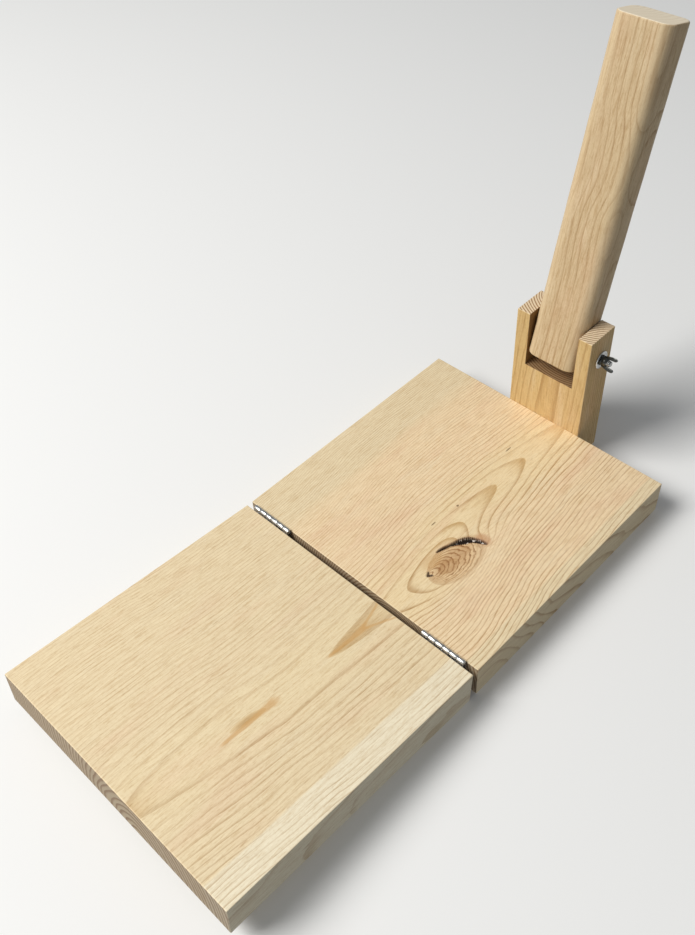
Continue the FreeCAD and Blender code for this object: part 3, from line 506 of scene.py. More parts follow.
def cell_lines(low, high, ease, pitch, marks=(), fine=None):
    """Grid lines across a block: close together at the eased edges and in an optional fine stretch."""
    rounding = [0, ease * 0.3, ease * 0.65, ease, ease + 0.3 * MM]
    lines = [low + step for step in rounding] + [high - step for step in rounding]
    stops = sorted([lines[4], lines[9], *marks, *(fine[:2] if fine else ())])
    for start, end in zip(stops[:-1], stops[1:]):
        gap = fine[2] if fine and fine[0] <= start < fine[1] else pitch
        steps = max(1, round((end - start) / gap))
        lines += [start + (end - start) * k / steps for k in range(steps + 1)]
    return np.array(sorted(set(round(line, 7) for line in lines)))


def skin(xs, ys, zs, solid):
    """Points and outward quads that enclose the solid cells of a grid."""
    padded = np.pad(solid, 1)
    quads = []
    for axis in range(3):
        for outward in (-1, 1):
            bare = solid & ~np.roll(padded, -outward, axis)[1:-1, 1:-1, 1:-1]
            cells = np.argwhere(bare)
            u, v = [(1, 2), (2, 0), (0, 1)][axis]
            corner = cells.copy()
            corner[:, axis] += outward > 0
            ring = []
            for du, dv in ((0, 0), (1, 0), (1, 1), (0, 1)):
                point = corner.copy()
                point[:, u] += du
                point[:, v] += dv
                ring.append(point)
            ring = ring if outward > 0 else ring[::-1]
            quads.append(np.stack(ring, 1))
    quads = np.concatenate(quads)
    keys = (quads[..., 0] * len(ys) + quads[..., 1]) * len(zs) + quads[..., 2]
    used, faces = np.unique(keys, return_inverse=True)
    faces = faces.reshape(keys.shape)
    grid = np.stack([used // (len(ys) * len(zs)), used // len(zs) % len(ys), used % len(zs)], 1)
    return np.stack([xs[grid[:, 0]], ys[grid[:, 1]], zs[grid[:, 2]]], 1), faces


def timber(name, low, high, ease, pitch=CELL, fine_x=None, fine_y=None, void=None):
    """Closed block on a grid whose outer arrises are eased to a radius that wanders a little.

    void is the (low, high) of a box left out of the block, sharp-edged as a saw leaves it.
    """
    void_marks = [[], [], []]
    if void:
        void = [np.array(corner) for corner in void]
        void_marks = [[v + d for v in (void[0][k], void[1][k]) if low[k] < v < high[k] for d in BESIDE_VOID]
                      for k in range(3)]
    xs = cell_lines(low.x, high.x, ease, pitch, void_marks[0], fine_x)
    ys = cell_lines(low.y, high.y, ease, pitch, void_marks[1], fine_y)
    zs = cell_lines(low.z, high.z, ease, pitch, void_marks[2])
    solid = np.ones((len(xs) - 1, len(ys) - 1, len(zs) - 1), bool)
    if void:
        middle = [(line[1:] + line[:-1]) / 2 for line in (xs, ys, zs)]
        within = [(m > void[0][k]) & (m < void[1][k]) for k, m in enumerate(middle)]
        solid &= ~(within[0][:, None, None] & within[1][None, :, None] & within[2][None, None, :])
    spots, faces = skin(xs, ys, zs, solid)
    wave = sum(np.sin(spots @ np.array(slope) + start) for slope, start in EASE_WAVES) / len(EASE_WAVES)
    radius = ease * (0.85 + 0.15 * wave)[:, None]
    core = np.clip(spots, np.array(low) + radius, np.array(high) - radius)
    away = spots - core
    span = np.linalg.norm(away, axis=1, keepdims=True)
    rounded = (np.abs(away) > NOTHING).sum(1) > 1
    spots = np.where(span > NOTHING, core + away / np.maximum(span, NOTHING) * radius, spots)
    mesh = bpy.data.meshes.new(name)
    mesh.from_pydata(spots.tolist(), [], faces.tolist())
    mesh.shade_smooth()
    write_values(mesh, "arris", rounded)
    if void:
        # mark the slot's walls and floor for the painted shade
        write_values(mesh, "slot_shade", np.all((spots > void[0] - TOUCH) & (spots < void[1] + TOUCH), axis=1))
    return new_piece(name, mesh)


def place_in_model(piece, node, body, material):
    """Give a finished piece its material and tie it to the CAD node and its body."""
    piece.data.materials.clear()
    piece.data.materials.append(material)
    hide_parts(node)
    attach(piece, body)


def distance_to_line(points, route):
    """Distance of each (x, y) point to a route of (x, y, half width) stations, and the width there."""
    best = np.full(len(points), 1e9)
    width = np.zeros(len(points))
    for (ax, ay, aw), (bx, by, bw) in zip(route[:-1], route[1:]):
        start, run = np.array((ax, ay)), np.array((bx - ax, by - ay))
        t = np.clip((points - start) @ run / (run @ run), 0, 1)
        gap = np.linalg.norm(points - start - t[:, None] * run, axis=1)
        closer = gap < best
        best = np.where(closer, gap, best)
        width = np.where(closer, aw + (bw - aw) * t, width)
    return best, width


BOARD_EASE = 0.9 * MM
base_low, base_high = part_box("base_board")
hinge_edge = Vector((0, base_low.y, base_high.z))
KNOT = (53.0, 76.3, 18.3, 32.5)
KNOT_TIP = (46.3, 48.4)
# brown stains beside the knot: (x, y, half width, half length), strength, colour
KNOT_STAINS = [((57, 113, 10, 8), 0.60, srgb(198, 142, 98)), ((38, 62, 8, 17), 0.40, srgb(206, 158, 96))]
KNOT_STRETCH_X = (28 * MM, 78 * MM, 0.5 * MM)
KNOT_STRETCH_Y = (base_low.y + 38 * MM, base_low.y + 118 * MM, 0.6 * MM)
# bark gap along the knot's upper left side: across, along, half width
BARK_GAP = [(61.8, 111.6, 1.1), (58.6, 110.6, 1.9), (54.5, 108.8, 2.3), (50.4, 106.8, 2.6),
            (47.4, 104.2, 3.2), (44.8, 100.4, 3.5), (42.2, 96.0, 2.8), (39.6, 90.6, 1.6),
            (38.0, 86.6, 0.9), (36.2, 81.8, 1.3), (34.9, 76.6, 1.0), (34.4, 73.0, 0.3)]
KNOT_HEART = [(44.0, 50.0, 1.5), (46.0, 46.8, 2.0), (48.8, 50.0, 1.5)]
GAP_DEPTH, HEART_DEPTH, RIPPLE = 2.6 * MM, 0.5 * MM, 0.05 * MM

base_board = timber("base_board_pine", base_low, base_high, BOARD_EASE, CELL, KNOT_STRETCH_X, KNOT_STRETCH_Y)
spots = points_of(base_board.data)
plan = (spots[:, :2] - np.array(hinge_edge[:2])) / MM
on_top = spots[:, 2] > base_high.z - 0.1 * MM
plan_x, plan_y = plan.T
ragged = 0.35 * np.sin(plan_x * 3.1 + plan_y * 1.7) + 0.25 * np.sin(plan_x * 7.3 - plan_y * 5.1)
near, width = distance_to_line(plan, BARK_GAP)
gap = np.clip((width + ragged * 0.5 * width + 0.4 - near) / 1.1, 0, 1) * on_top
heart_near, heart_width = distance_to_line(plan, KNOT_HEART)
knot_heart = np.clip((heart_width + ragged * 0.6 - heart_near) / 1.1, 0, 1) * on_top
gap_edge = np.clip(1 - np.abs(near - width) / 1.6, 0, 1) * on_top
knot_rho = np.sqrt(((plan_x - KNOT[0]) / KNOT[2]) ** 2 + ((plan_y - KNOT[1]) / KNOT[3]) ** 2)
ripple = RIPPLE * np.sin(knot_rho * 26) * np.clip(1.15 - knot_rho, 0, 0.3) / 0.3
spots[:, 2] += on_top * (ripple - gap * GAP_DEPTH - knot_heart * HEART_DEPTH)
base_board.data.vertices.foreach_set("co", spots.ravel())
for label, values in (("bark_gap", gap), ("knot_heart", knot_heart), ("gap_edge", gap_edge)):
    write_values(base_board.data, label, values)

BASE_CENTRE_LINE = [(0, 43), (24, 42), (60, 36), (91, 30), (114, 26), (175, 23), (223, 22), (283, 22)]
BASE_RING_LINE = [(0, -0.30), (24, -0.45), (60, -0.15), (91, 0.07), (114, 0.42), (175.5, 1.0), (223, 2.0),
                  (283, 2.85)]
base_heart = (BASE_CENTRE_LINE, BASE_RING_LINE, 42.0, 1.08, (0.27, -0.0003, 0.0009))
BASE_COLOURS = (srgb(242, 222, 184), srgb(249, 223, 183), srgb(247, 223, 178))
BASE_FLECKS = [(12.1, 129.8, 1.3, 1.5), (9.5, 97, 0.7, 3.5), (2.2, 222, 0.8, 5.0)]
base_pine = pine("pine_base", (0, 0, 0), hinge_edge, base_heart, (-90, 129.6), 1.7, BASE_COLOURS, 0.95,
                 knot=KNOT, flecks=BASE_FLECKS)
place_in_model(base_board, "base_board", "base", base_pine)


# ------------------------------------------------------------------ lid board
# The upper half of the press: the same plank, cut a little shorter so that it clears the post when it
# folds over.  It stays slightly raised at its outer end, held off by the screw heads in the hinges.
joint_places = {joint["name"]: Vector(joint["pos_m"]) for joint in frame["joints"]}
hinge_axis = joint_places["lid_hinge"]
LID_LIFT = math.radians(4.1)
LID_LENGTH, BOARD_WIDTH, BOARD_THICK = 275 * MM, 285.75 * MM, 38.1 * MM
KNUCKLE_RADIUS, AXIS_RISE, LEAF_SWAGE = 2.5 * MM, 0.5 * MM, 1.15 * MM
LID_FACE = KNUCKLE_RADIUS + LEAF_SWAGE

lid_low = Vector((-BOARD_WIDTH / 2, -LID_FACE - LID_LENGTH, -AXIS_RISE - BOARD_THICK))
lid_high = Vector((BOARD_WIDTH / 2, -LID_FACE, -AXIS_RISE))
lid_board = timber("lid_board_pine", lid_low, lid_high, BOARD_EASE)
lid_turn = Matrix.Translation(hinge_axis) @ Matrix.Rotation(-LID_LIFT, 4, "X")
lid_board.data.transform(lid_turn)
lid_edge = lid_turn @ Vector((0, -LID_FACE, -AXIS_RISE))
LID_CENTRE_LINE = [(-275, 34.6), (-250, 34.0), (-212, 35.5), (-162, 38.0), (-125, 42.0), (-75, 42.5),
                   (0, 40.4)]
LID_RING_LINE = [(-275, 0.80), (-250, 0.49), (-212, 0.15), (-186, 0.02), (-160, -0.03), (-136, 0.02),
                 (-100, 0.09), (-72, 0.0), (-36, -0.16), (0, -0.33)]
lid_heart = (LID_CENTRE_LINE, LID_RING_LINE, 42.0, 1.18, (0.143, 0.0003, 0.0001))
LID_STREAKS = [(((31.8, 2), (42.0, -30)), (1.3, 1.8), 0.50), (((56, 2), (43.2, -30)), (1.3, 1.8), 0.50),
               (((42.6, -24), (42.3, -72)), (4.4, 1.5), 0.58),
               (((40.8, -132), (40.6, -192)), (5.2, 1.6), 0.62)]
LID_COLOURS = (srgb(252, 239, 210), srgb(246, 225, 186), srgb(247, 226, 185))
lid_pine = pine("pine_lid", (LID_LIFT, 0, 0), lid_edge, lid_heart, (-170, 118), 4.3, LID_COLOURS, 0.62,
                streaks=LID_STREAKS, rosiness=0.16)
place_in_model(lid_board, "lid_board", "lid", lid_pine)


# ------------------------------------------------------------------ lever post
# A piece of two-by-four stood on end behind the base board, its top sawn out into a fork for the lever.
# Its growth rings lie flat to the front face, so the tops of the two ears show them as stripes.
def cut_away(piece, tool):
    """Cut one closed mesh out of another and leave a plain mesh."""
    step = piece.modifiers.new("cut", "BOOLEAN")
    step.operation = "DIFFERENCE"
    step.object = tool
    step.solver = "EXACT"
    graph = bpy.context.evaluated_depsgraph_get()
    shaped = bpy.data.meshes.new_from_object(piece.evaluated_get(graph))
    piece.modifiers.clear()
    piece.data = shaped
    bpy.data.objects.remove(tool)


def turned(name, profile, segments=48, wear_and_sheen=None, hollow=False):
    """Closed piece turned about Z from (radius, height) stations, the first and last on the axis.

    A hollow piece has no station on the axis; its last station joins its first.
    """
    points, faces, worn = [], [], []
    for place, (radius, height) in enumerate(profile):
        for k in range(segments if radius > 0 else 1):
            angle = 2 * math.pi * k / segments
            points.append((radius * math.cos(angle), radius * math.sin(angle), height))
            worn.append(wear_and_sheen[place] if wear_and_sheen else 0.0)
    starts, total = [], 0
    for radius, _ in profile:
        starts.append(total)
        total += segments if radius > 0 else 1
    pairs = list(zip(range(len(profile) - 1), range(1, len(profile))))
    if hollow:
        pairs.append((len(profile) - 1, 0))
    for a, b in pairs:
        for k in range(segments):
            n = (k + 1) % segments
            if profile[a][0] == 0:
                faces.append((starts[a], starts[b] + n, starts[b] + k))
            elif profile[b][0] == 0:
                faces.append((starts[a] + k, starts[a] + n, starts[b]))
            else:
                faces.append((starts[a] + k, starts[a] + n, starts[b] + n, starts[b] + k))
    mesh = bpy.data.meshes.new(name)
    mesh.from_pydata(points, [], faces)
    write_values(mesh, "wear_and_sheen", worn)
    mesh.shade_smooth()
    return new_piece(name, mesh)


def face_outward(piece):
    """Turn every face of a closed mesh outwards."""
    work = bmesh.new()
    work.from_mesh(piece.data)
    bmesh.ops.recalc_face_normals(work, faces=work.faces)
    work.to_mesh(piece.data)
    work.free()


POST_EASE, POST_CELL, OVERCUT = 0.8 * MM, 5 * MM, 5 * MM
SLOT_WIDTH, SLOT_FLOOR = 57 * MM, 95.25 * MM
SCREW_SPAN, SCREW_LOW, SCREW_RISE = 56 * MM, 10.5 * MM, 17 * MM
SCREW_HEAD, SCREW_SHANK, SCREW_LENGTH = 4.8 * MM, 2.4 * MM, 76 * MM
SINK_LIP, SINK_DEPTH, SINK_END = 0.6 * MM, 2.6 * MM, 6 * MM
SINK = [(0, -SINK_LIP), (SCREW_HEAD + 0.7 * MM, -SINK_LIP), (SCREW_SHANK, SINK_DEPTH),
        (SCREW_SHANK, SINK_END), (0, SINK_END)]
post_low, post_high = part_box("lever_post")
slot_low = Vector((-SLOT_WIDTH / 2, post_low.y - OVERCUT, SLOT_FLOOR))
slot_high = Vector((SLOT_WIDTH / 2, post_high.y + OVERCUT, post_high.z + OVERCUT))
post = timber("lever_post_pine", post_low, post_high, POST_EASE, POST_CELL, void=(slot_low, slot_high))
backwards = Matrix.Rotation(math.radians(90), 4, "X")
for side in (-1, 1):
    for level_up in (0, 1):
        sink = turned("countersink", SINK)
        spot = Vector((side * SCREW_SPAN / 2, post_high.y, SCREW_LOW + level_up * SCREW_RISE))
        sink.data.transform(Matrix.Translation(spot) @ backwards)
        face_outward(sink)
        cut_away(post, sink)
SHARP = math.radians(50)
post.data.set_sharp_from_angle(angle=SHARP)
POST_COLOURS = (srgb(214, 190, 136), srgb(219, 188, 132), srgb(224, 193, 138))
POST_CENTRE = [(0, -2), (60, 2), (159, 8)]
POST_RINGS = [(0, 0.52), (50, 0.62), (100, 0.72), (159, 0.80)]
post_heart = (POST_CENTRE, POST_RINGS, 72.0, 1.0, (0.36, 0.0, 0.0))
post_origin = Vector((0, post_low.y, 0))
ALL_HEARTWOOD = (-90, 90)
post_turn = (math.radians(-90), 0, 0)
POST_END = (srgb(246, 228, 198), 0.85)
post_pine = pine("pine_post", post_turn, post_origin, post_heart, ALL_HEARTWOOD, 7.9, POST_COLOURS, 0.80,
                 end_axis=2, end_wood=POST_END, end_lines=1.0, rosiness=0.15)
place_in_model(post, "lever_post", "base", post_pine)


# ------------------------------------------------------------------ hand lever
# The press arm: a thick pine bar with its four long corners rounded over to make a grip, drilled near
# its lower end for the bolt.  It leans back in the fork, clear of the boards.
pivot = joint_places["lever_pivot"]
LEVER_TILT = math.radians(13.5)
LEVER_WIDTH, LEVER_THICK, LEVER_ROUND, LEVER_EASE = 55.5 * MM, 40 * MM, 11.5 * MM, 1.6 * MM
LEVER_ABOVE, LEVER_BELOW, BORE_SHIFT, BORE_RADIUS = 305 * MM, 18.5 * MM, 1.5 * MM, 3.2 * MM


def bar_outline(inset, height):
    """Rounded rectangle of the lever's section, drawn in by an inset, as (points, arris strength)."""
    half_x, half_y = LEVER_WIDTH / 2 - inset, LEVER_THICK / 2 - inset
    bend = max(LEVER_ROUND - inset, 0.5 * MM)
    outline = []
    for quarter, (sx, sy) in enumerate(((1, 1), (-1, 1), (-1, -1), (1, -1))):
        for k in range(13):
            angle = math.radians(quarter * 90 + k * 7.5)
            x = sx * (half_x - bend) + bend * math.cos(angle)
            y = sy * (half_y - bend) + bend * math.sin(angle)
            outline.append((x, y, math.sin(math.radians(k * 15)) ** 0.5 if 0 < k < 12 else 0.0))
        nx, ny = ((-1, 1), (-1, -1), (1, -1), (1, 1))[quarter]
        ax, ay, _ = outline[-1]
        angle = math.radians(quarter * 90 + 90)
        bx = nx * (half_x - bend) + bend * math.cos(angle)
        by = ny * (half_y - bend) + bend * math.sin(angle)
        outline += [(ax + (bx - ax) * t / 6, ay + (by - ay) * t / 6, 0.0) for t in range(1, 6)]
    lumpy = []
    for x, y, arris in outline:
        lump = 0.10 * MM * math.sin(x * 190 + height * 41) * math.cos(y * 230 - height * 63)
        scale = 1 + (lump - 0.10 * MM) / (LEVER_THICK / 2)
        lumpy.append((x * scale, y * scale, arris))
    return lumpy


stations = []
for k in range(6):
    angle = math.radians(90 - k * 18)
    stations.append((LEVER_EASE * (1 - math.cos(angle)), -LEVER_BELOW + LEVER_EASE * (1 - math.sin(angle))))
stations = [(LEVER_EASE + 0.6 * MM, -LEVER_BELOW)] + stations
shaft = np.linspace(-LEVER_BELOW + LEVER_EASE, LEVER_ABOVE - LEVER_EASE, 46)[1:-1]
top = [(inset, LEVER_ABOVE - LEVER_BELOW - height) for inset, height in reversed(stations)]
stations += [(0.0, float(h)) for h in shaft] + top
points, faces, arris_levels = [], [], []
for inset, height in stations:
    for x, y, arris in bar_outline(inset, height):
        points.append((x, y - BORE_SHIFT, height))
        arris_levels.append(max(arris, min(1.0, inset / LEVER_EASE) * 0.8 if inset <= LEVER_EASE else 0.0))
ring_size = len(points) // len(stations)
for j in range(len(stations) - 1):
    for k in range(ring_size):
        n = (k + 1) % ring_size
        faces.append((j * ring_size + k, j * ring_size + n, (j + 1) * ring_size + n, (j + 1) * ring_size + k))
faces.append(tuple(range(ring_size))[::-1])
faces.append(tuple(range(len(points) - ring_size, len(points))))
lever_mesh = bpy.data.meshes.new("lever_pine")
lever_mesh.from_pydata(points, [], faces)
lever_mesh.shade_smooth()
write_values(lever_mesh, "arris", arris_levels)
lever = new_piece("lever_pine", lever_mesh)
BORE_HALF = 40 * MM
bore = turned("bore", [(0, -BORE_HALF), (BORE_RADIUS, -BORE_HALF), (BORE_RADIUS, BORE_HALF), (0, BORE_HALF)])
sideways = Matrix.Rotation(math.radians(90), 4, "Y")
bore.data.transform(sideways)
face_outward(bore)
cut_away(lever, bore)
lever.data.set_sharp_from_angle(angle=SHARP)
lever_stand = Matrix.Translation(pivot) @ Matrix.Rotation(-LEVER_TILT, 4, "X")
lever.data.transform(lever_stand)
LEVER_COLOURS = (srgb(213, 190, 151), srgb(211, 186, 147), srgb(214, 188, 149))
LEVER_CENTRE = [(-20, -32), (60, -30), (130, -34), (180, -27), (240, -33), (305, -36)]
LEVER_RINGS = [(-20, 0.40), (60, 0.55), (130, 0.50), (180, 0.62), (240, 0.66), (305, 0.72)]
lever_heart = (LEVER_CENTRE, LEVER_RINGS, 30.0, 1.0, (0.19, 0.0, 0.0))
lever_face = Vector((0, -LEVER_THICK / 2 - BORE_SHIFT, 0))
lever_origin = lever_stand @ lever_face
lever_turn = (LEVER_TILT - math.radians(90), 0, 0)
LEVER_END = (srgb(255, 241, 216), 0.95)
lever_pine = pine("pine_lever", lever_turn, lever_origin, lever_heart, ALL_HEARTWOOD, 12.4, LEVER_COLOURS,
                  0.70, end_axis=2, end_wood=LEVER_END, end_lines=0.12, rosiness=0.15, grit=1.25)
place_in_model(lever, "lever", "lever", lever_pine)


# ------------------------------------------------------------------ butt hinges
# Two small zinc-plated butt hinges stand in the joint between the boards.  Each has two leaves of thin
# strip rolled into three knuckles; the lid's leaf is swaged so that its strip stands off the pin.
def zinc(name, colour, roughness, scratch, seed, dirt=0.35):
    """Plated steel: fine scratches, dull blotches, lighter worn edges and lighter painted highlights where
    marked.
    """
    paint = Paint(name)
    spot = paint.place()
    fine = paint.noise(spot, 2.2, (1, 1, 9), 2.0, 0.6, (seed, 0, 0))
    crossing = paint.noise(spot, 1.7, (8, 1, 1), 2.0, 0.6, (0, seed, 0))
    blotch = paint.noise(spot, 1 / 2.6, (1, 1, 1), 3.0, 0.6, (0, 0, seed))
    wear_and_sheen = paint.attribute("wear_and_sheen")
    paint.tint(1.0, colour)
    paint.stain(blotch.step(0.42, 0.68) * dirt, (0.62, 0.60, 0.56))
    paint.stain(fine.step(0.58, 0.72) * scratch, (0.74, 0.75, 0.78))
    paint.stain(crossing.step(0.62, 0.74) * scratch, (1.22, 1.22, 1.22))
    # lighter where marked: real wear, and painted highlight where a piece marks one
    paint.tint(wear_and_sheen * 0.5, (0.92, 0.92, 0.90))
    paint.shader.inputs["Metallic"].default_value = 1.0
    rough = (blotch * 0.22) + (fine * 0.10) + roughness - 0.16 - (wear_and_sheen * 0.08)
    return paint.finish(rough, fine + (crossing * 0.6) + (blotch * 0.8), 0.012)


def row_group():
    """Geometry nodes that repeat the mesh along a line, turn each copy a little and make them real."""
    group = bpy.data.node_groups.new("row", "GeometryNodeTree")
    sockets = {}
    for label, kind in (("Geometry", "Geometry"), ("Count", "Int"), ("Start", "Vector"), ("Pitch", "Vector"),
                        ("Turn", "Float"), ("Seed", "Int"), ("Material", "Material")):
        sockets[label] = group.interface.new_socket(label, in_out="INPUT", socket_type="NodeSocket" + kind)
    group.interface.new_socket("Geometry", in_out="OUTPUT", socket_type="NodeSocketGeometry")
    nodes, links = group.nodes, group.links
    given = nodes.new("NodeGroupInput")
    line = nodes.new("GeometryNodeMeshLine")
    line.mode = "OFFSET"
    links.new(given.outputs["Count"], line.inputs["Count"])
    links.new(given.outputs["Start"], line.inputs["Start Location"])
    links.new(given.outputs["Pitch"], line.inputs["Offset"])
    chance = nodes.new("FunctionNodeRandomValue")
    chance.data_type = "FLOAT"
    links.new(given.outputs["Turn"], chance.inputs[3])
    links.new(given.outputs["Seed"], chance.inputs["Seed"])
    angle = nodes.new("ShaderNodeCombineXYZ")
    links.new(chance.outputs[1], angle.inputs["Z"])
    copies = nodes.new("GeometryNodeInstanceOnPoints")
    links.new(line.outputs["Mesh"], copies.inputs["Points"])
    links.new(given.outputs["Geometry"], copies.inputs["Instance"])
    links.new(angle.outputs[0], copies.inputs["Rotation"])
    real = nodes.new("GeometryNodeRealizeInstances")
    links.new(copies.outputs[0], real.inputs[0])
    painted = nodes.new("GeometryNodeSetMaterial")
    links.new(real.outputs[0], painted.inputs["Geometry"])
    links.new(given.outputs["Material"], painted.inputs["Material"])
    result = nodes.new("NodeGroupOutput")
    links.new(painted.outputs[0], result.inputs[0])
    return group, {label: socket.identifier for label, socket in sockets.items()}


ROW, ROW_INPUTS = row_group()


def repeat(unit, count, start, pitch, material, turn=0.0, seed=1):
    """Run one piece through the row and keep the result as a plain mesh."""
    step = unit.modifiers.new("row", "NODES")
    step.node_group = ROW
    settings = {"Count": count, "Start": start, "Pitch": pitch, "Turn": turn, "Seed": seed,
                "Material": material}
    for label, value in settings.items():
        step[ROW_INPUTS[label]] = value
    graph = bpy.context.evaluated_depsgraph_get()
    made = bpy.data.meshes.new_from_object(unit.evaluated_get(graph))
    unit.modifiers.clear()
    unit.data = made
    return unit


def prism(name, outline, x_low, x_high, bevel):
    """Closed bar with a (y, z) outline between two x stations, its edges softened."""
    work = bmesh.new()
    rings = [[work.verts.new((x, y, z)) for y, z in outline] for x in (x_low, x_high)]
    work.faces.new(rings[0])
    work.faces.new(rings[1][::-1])
    for k in range(len(outline)):
        n = (k + 1) % len(outline)
        work.faces.new((rings[0][k], rings[0][n], rings[1][n], rings[1][k]))
    bmesh.ops.recalc_face_normals(work, faces=work.faces)
    bmesh.ops.bevel(work, geom=work.edges[:], offset=bevel, segments=2, profile=0.5, affect="EDGES")
    mesh = bpy.data.meshes.new(name)
    work.to_mesh(mesh)
    work.free()
    return new_piece(name, mesh)


def gather(name, parts):
    """Join several pieces into the first one."""
    work = bmesh.new()
    for part in parts:
        work.from_mesh(part.data)
    kept = parts[0]
    bmesh.ops.recalc_face_normals(work, faces=work.faces)
    work.to_mesh(kept.data)
    work.free()
    kept.name = name
    for part in parts[1:]:
        bpy.data.objects.remove(part)
    return kept


def mark_wear_and_sheen(piece, test):
    """Write the mark of real wear and painted highlight of a mesh from a function of its points in metres."""
    write_values(piece.data, "wear_and_sheen", test(points_of(piece.data)))


HINGE_PLACES = {"left_hinge": -110.6 * MM, "right_hinge": 106.3 * MM}
HINGE_LENGTH, KNUCKLE_PITCH, KNUCKLE_PLAY = 48 * MM, 8 * MM, 0.35 * MM
NOTCH_DEPTH, LEAF_THICK, LEAF_DROP = 3.0 * MM, 1.2 * MM, 20 * MM
PIN_RADIUS, PIN_BORE = 1.25 * MM, 1.3 * MM
INNER = KNUCKLE_RADIUS - LEAF_THICK
SOFT = 0.12 * MM
base_turn = Matrix.Translation(hinge_axis)
SHARED = -3.25 * MM
LEAVES = {
    "base": {"first": 0, "turn": base_turn, "body": "base",
             "strip": [(INNER, -NOTCH_DEPTH), (INNER, -LEAF_DROP), (KNUCKLE_RADIUS, -LEAF_DROP),
                       (KNUCKLE_RADIUS, -NOTCH_DEPTH)],
             "neck": [(INNER, -0.3 * MM), (INNER, SHARED), (KNUCKLE_RADIUS, SHARED),
                      (KNUCKLE_RADIUS, -0.3 * MM)]},
    "lid": {"first": 1, "turn": lid_turn, "body": "lid",
            "strip": [(-1.922 * MM, -NOTCH_DEPTH), (-2.45 * MM, -3.735 * MM), (-2.45 * MM, -LEAF_DROP),
                      (-LID_FACE, -LEAF_DROP), (-LID_FACE, -3.4 * MM), (-3.3625 * MM, -NOTCH_DEPTH)],
            "neck": [(-INNER, -0.3 * MM), (-INNER, -2.135 * MM), (-2.1 * MM, SHARED), (-3.54 * MM, SHARED),
                     (-KNUCKLE_RADIUS, -1.8 * MM), (-KNUCKLE_RADIUS, -0.3 * MM)]}}
hinge_zinc = zinc("hinge_zinc", (0.70, 0.71, 0.72), 0.34, 0.5, 2.0)
KNUCKLE_HALF = (KNUCKLE_PITCH - KNUCKLE_PLAY) / 2
RIM = 0.25 * MM
rolled_end = [(PIN_BORE, KNUCKLE_HALF), (KNUCKLE_RADIUS - RIM, KNUCKLE_HALF),
              (KNUCKLE_RADIUS - RIM * 0.3, KNUCKLE_HALF - RIM * 0.3), (KNUCKLE_RADIUS, KNUCKLE_HALF - RIM)]
rolled_profile = [(r, -h) for r, h in rolled_end] + rolled_end[::-1]
for hinge, hinge_x in HINGE_PLACES.items():
    shift = Matrix.Translation((hinge_x, 0, 0))
    for side, leaf in LEAVES.items():
        rolled = turned("knuckle", rolled_profile, 40, hollow=True)
        rolled.data.transform(sideways)
        neck = prism("neck", leaf["neck"], -KNUCKLE_HALF, KNUCKLE_HALF, SOFT)
        unit = gather("knuckle", [rolled, neck])
        first_x = -HINGE_LENGTH / 2 + (leaf["first"] + 0.5) * KNUCKLE_PITCH
        knuckles = repeat(unit, 3, (first_x, 0, 0), (2 * KNUCKLE_PITCH, 0, 0), hinge_zinc)
        strip = prism("strip", leaf["strip"], -HINGE_LENGTH / 2, HINGE_LENGTH / 2, SOFT)
        made = gather(f"{hinge}_{side}_leaf_zinc", [strip, knuckles])
        # painted highlight: the upper side of each knuckle's outer face is marked lighter
        mark_wear_and_sheen(made, lambda p: np.clip((np.hypot(p[:, 1], p[:, 2]) - 2.2 * MM) / (0.3 * MM), 0, 1)
                  * (p[:, 2] > 1.2 * MM) * 0.8)
        made.data.transform(leaf["turn"] @ shift)
        place_in_model(made, f"{hinge}_{side}_leaf", leaf["body"], hinge_zinc)


# ------------------------------------------------------------------ hinge pins
# A drawn steel wire runs through all six knuckles of each hinge, its two ends crowned with a hammer.
pin_steel = zinc("pin_steel", (0.58, 0.58, 0.59), 0.30, 0.6, 5.0)
CROWN = 0.5 * MM
stub = [(0, 0)] + [(PIN_RADIUS - CROWN * (1 - math.sin(math.radians(a))),
                    CROWN * (1 - math.cos(math.radians(a)))) for a in (0, 22, 45, 68, 90)]
pin_profile = [(r, h - HINGE_LENGTH / 2) for r, h in stub]
pin_profile += [(r, HINGE_LENGTH / 2 - h) for r, h in reversed(stub)]
for hinge, hinge_x in HINGE_PLACES.items():
    pin = turned(f"{hinge}_pin_steel", pin_profile, 32, [0.8] * len(pin_profile))
    pin.data.transform(base_turn @ Matrix.Translation((hinge_x, 0, 0)) @ sideways)
    face_outward(pin)
    place_in_model(pin, f"{hinge}_pin", "base", pin_steel)


# ------------------------------------------------------------------ hinge screws
# Three small pan-head wood screws hold each leaf to the end grain of its board.  Their cross-recessed
# heads stand proud between the leaves.
def dome(radius, height, steps):
    """(radius, height) stations of a domed head from its middle, short of its rim."""
    ball = (radius ** 2 + height ** 2) / (2 * height)
    return [(radius * k / steps, -height + ball - math.sqrt(ball ** 2 - (radius * k / steps) ** 2))
            for k in range(steps)]


def screw_thread(shank, root, tip, start, end, pitch):
    """(radius, height) stations of a ridged shank; the ridges run round it."""
    ridges, height = [], start
    while height < end:
        near_tip = min(1.0, (end - height) / tip)
        ridges.append((max(root * near_tip, 0.12 * MM), height))
        ridges.append((max(shank * near_tip, 0.16 * MM), height + pitch * 0.5))
        height += pitch
    return ridges


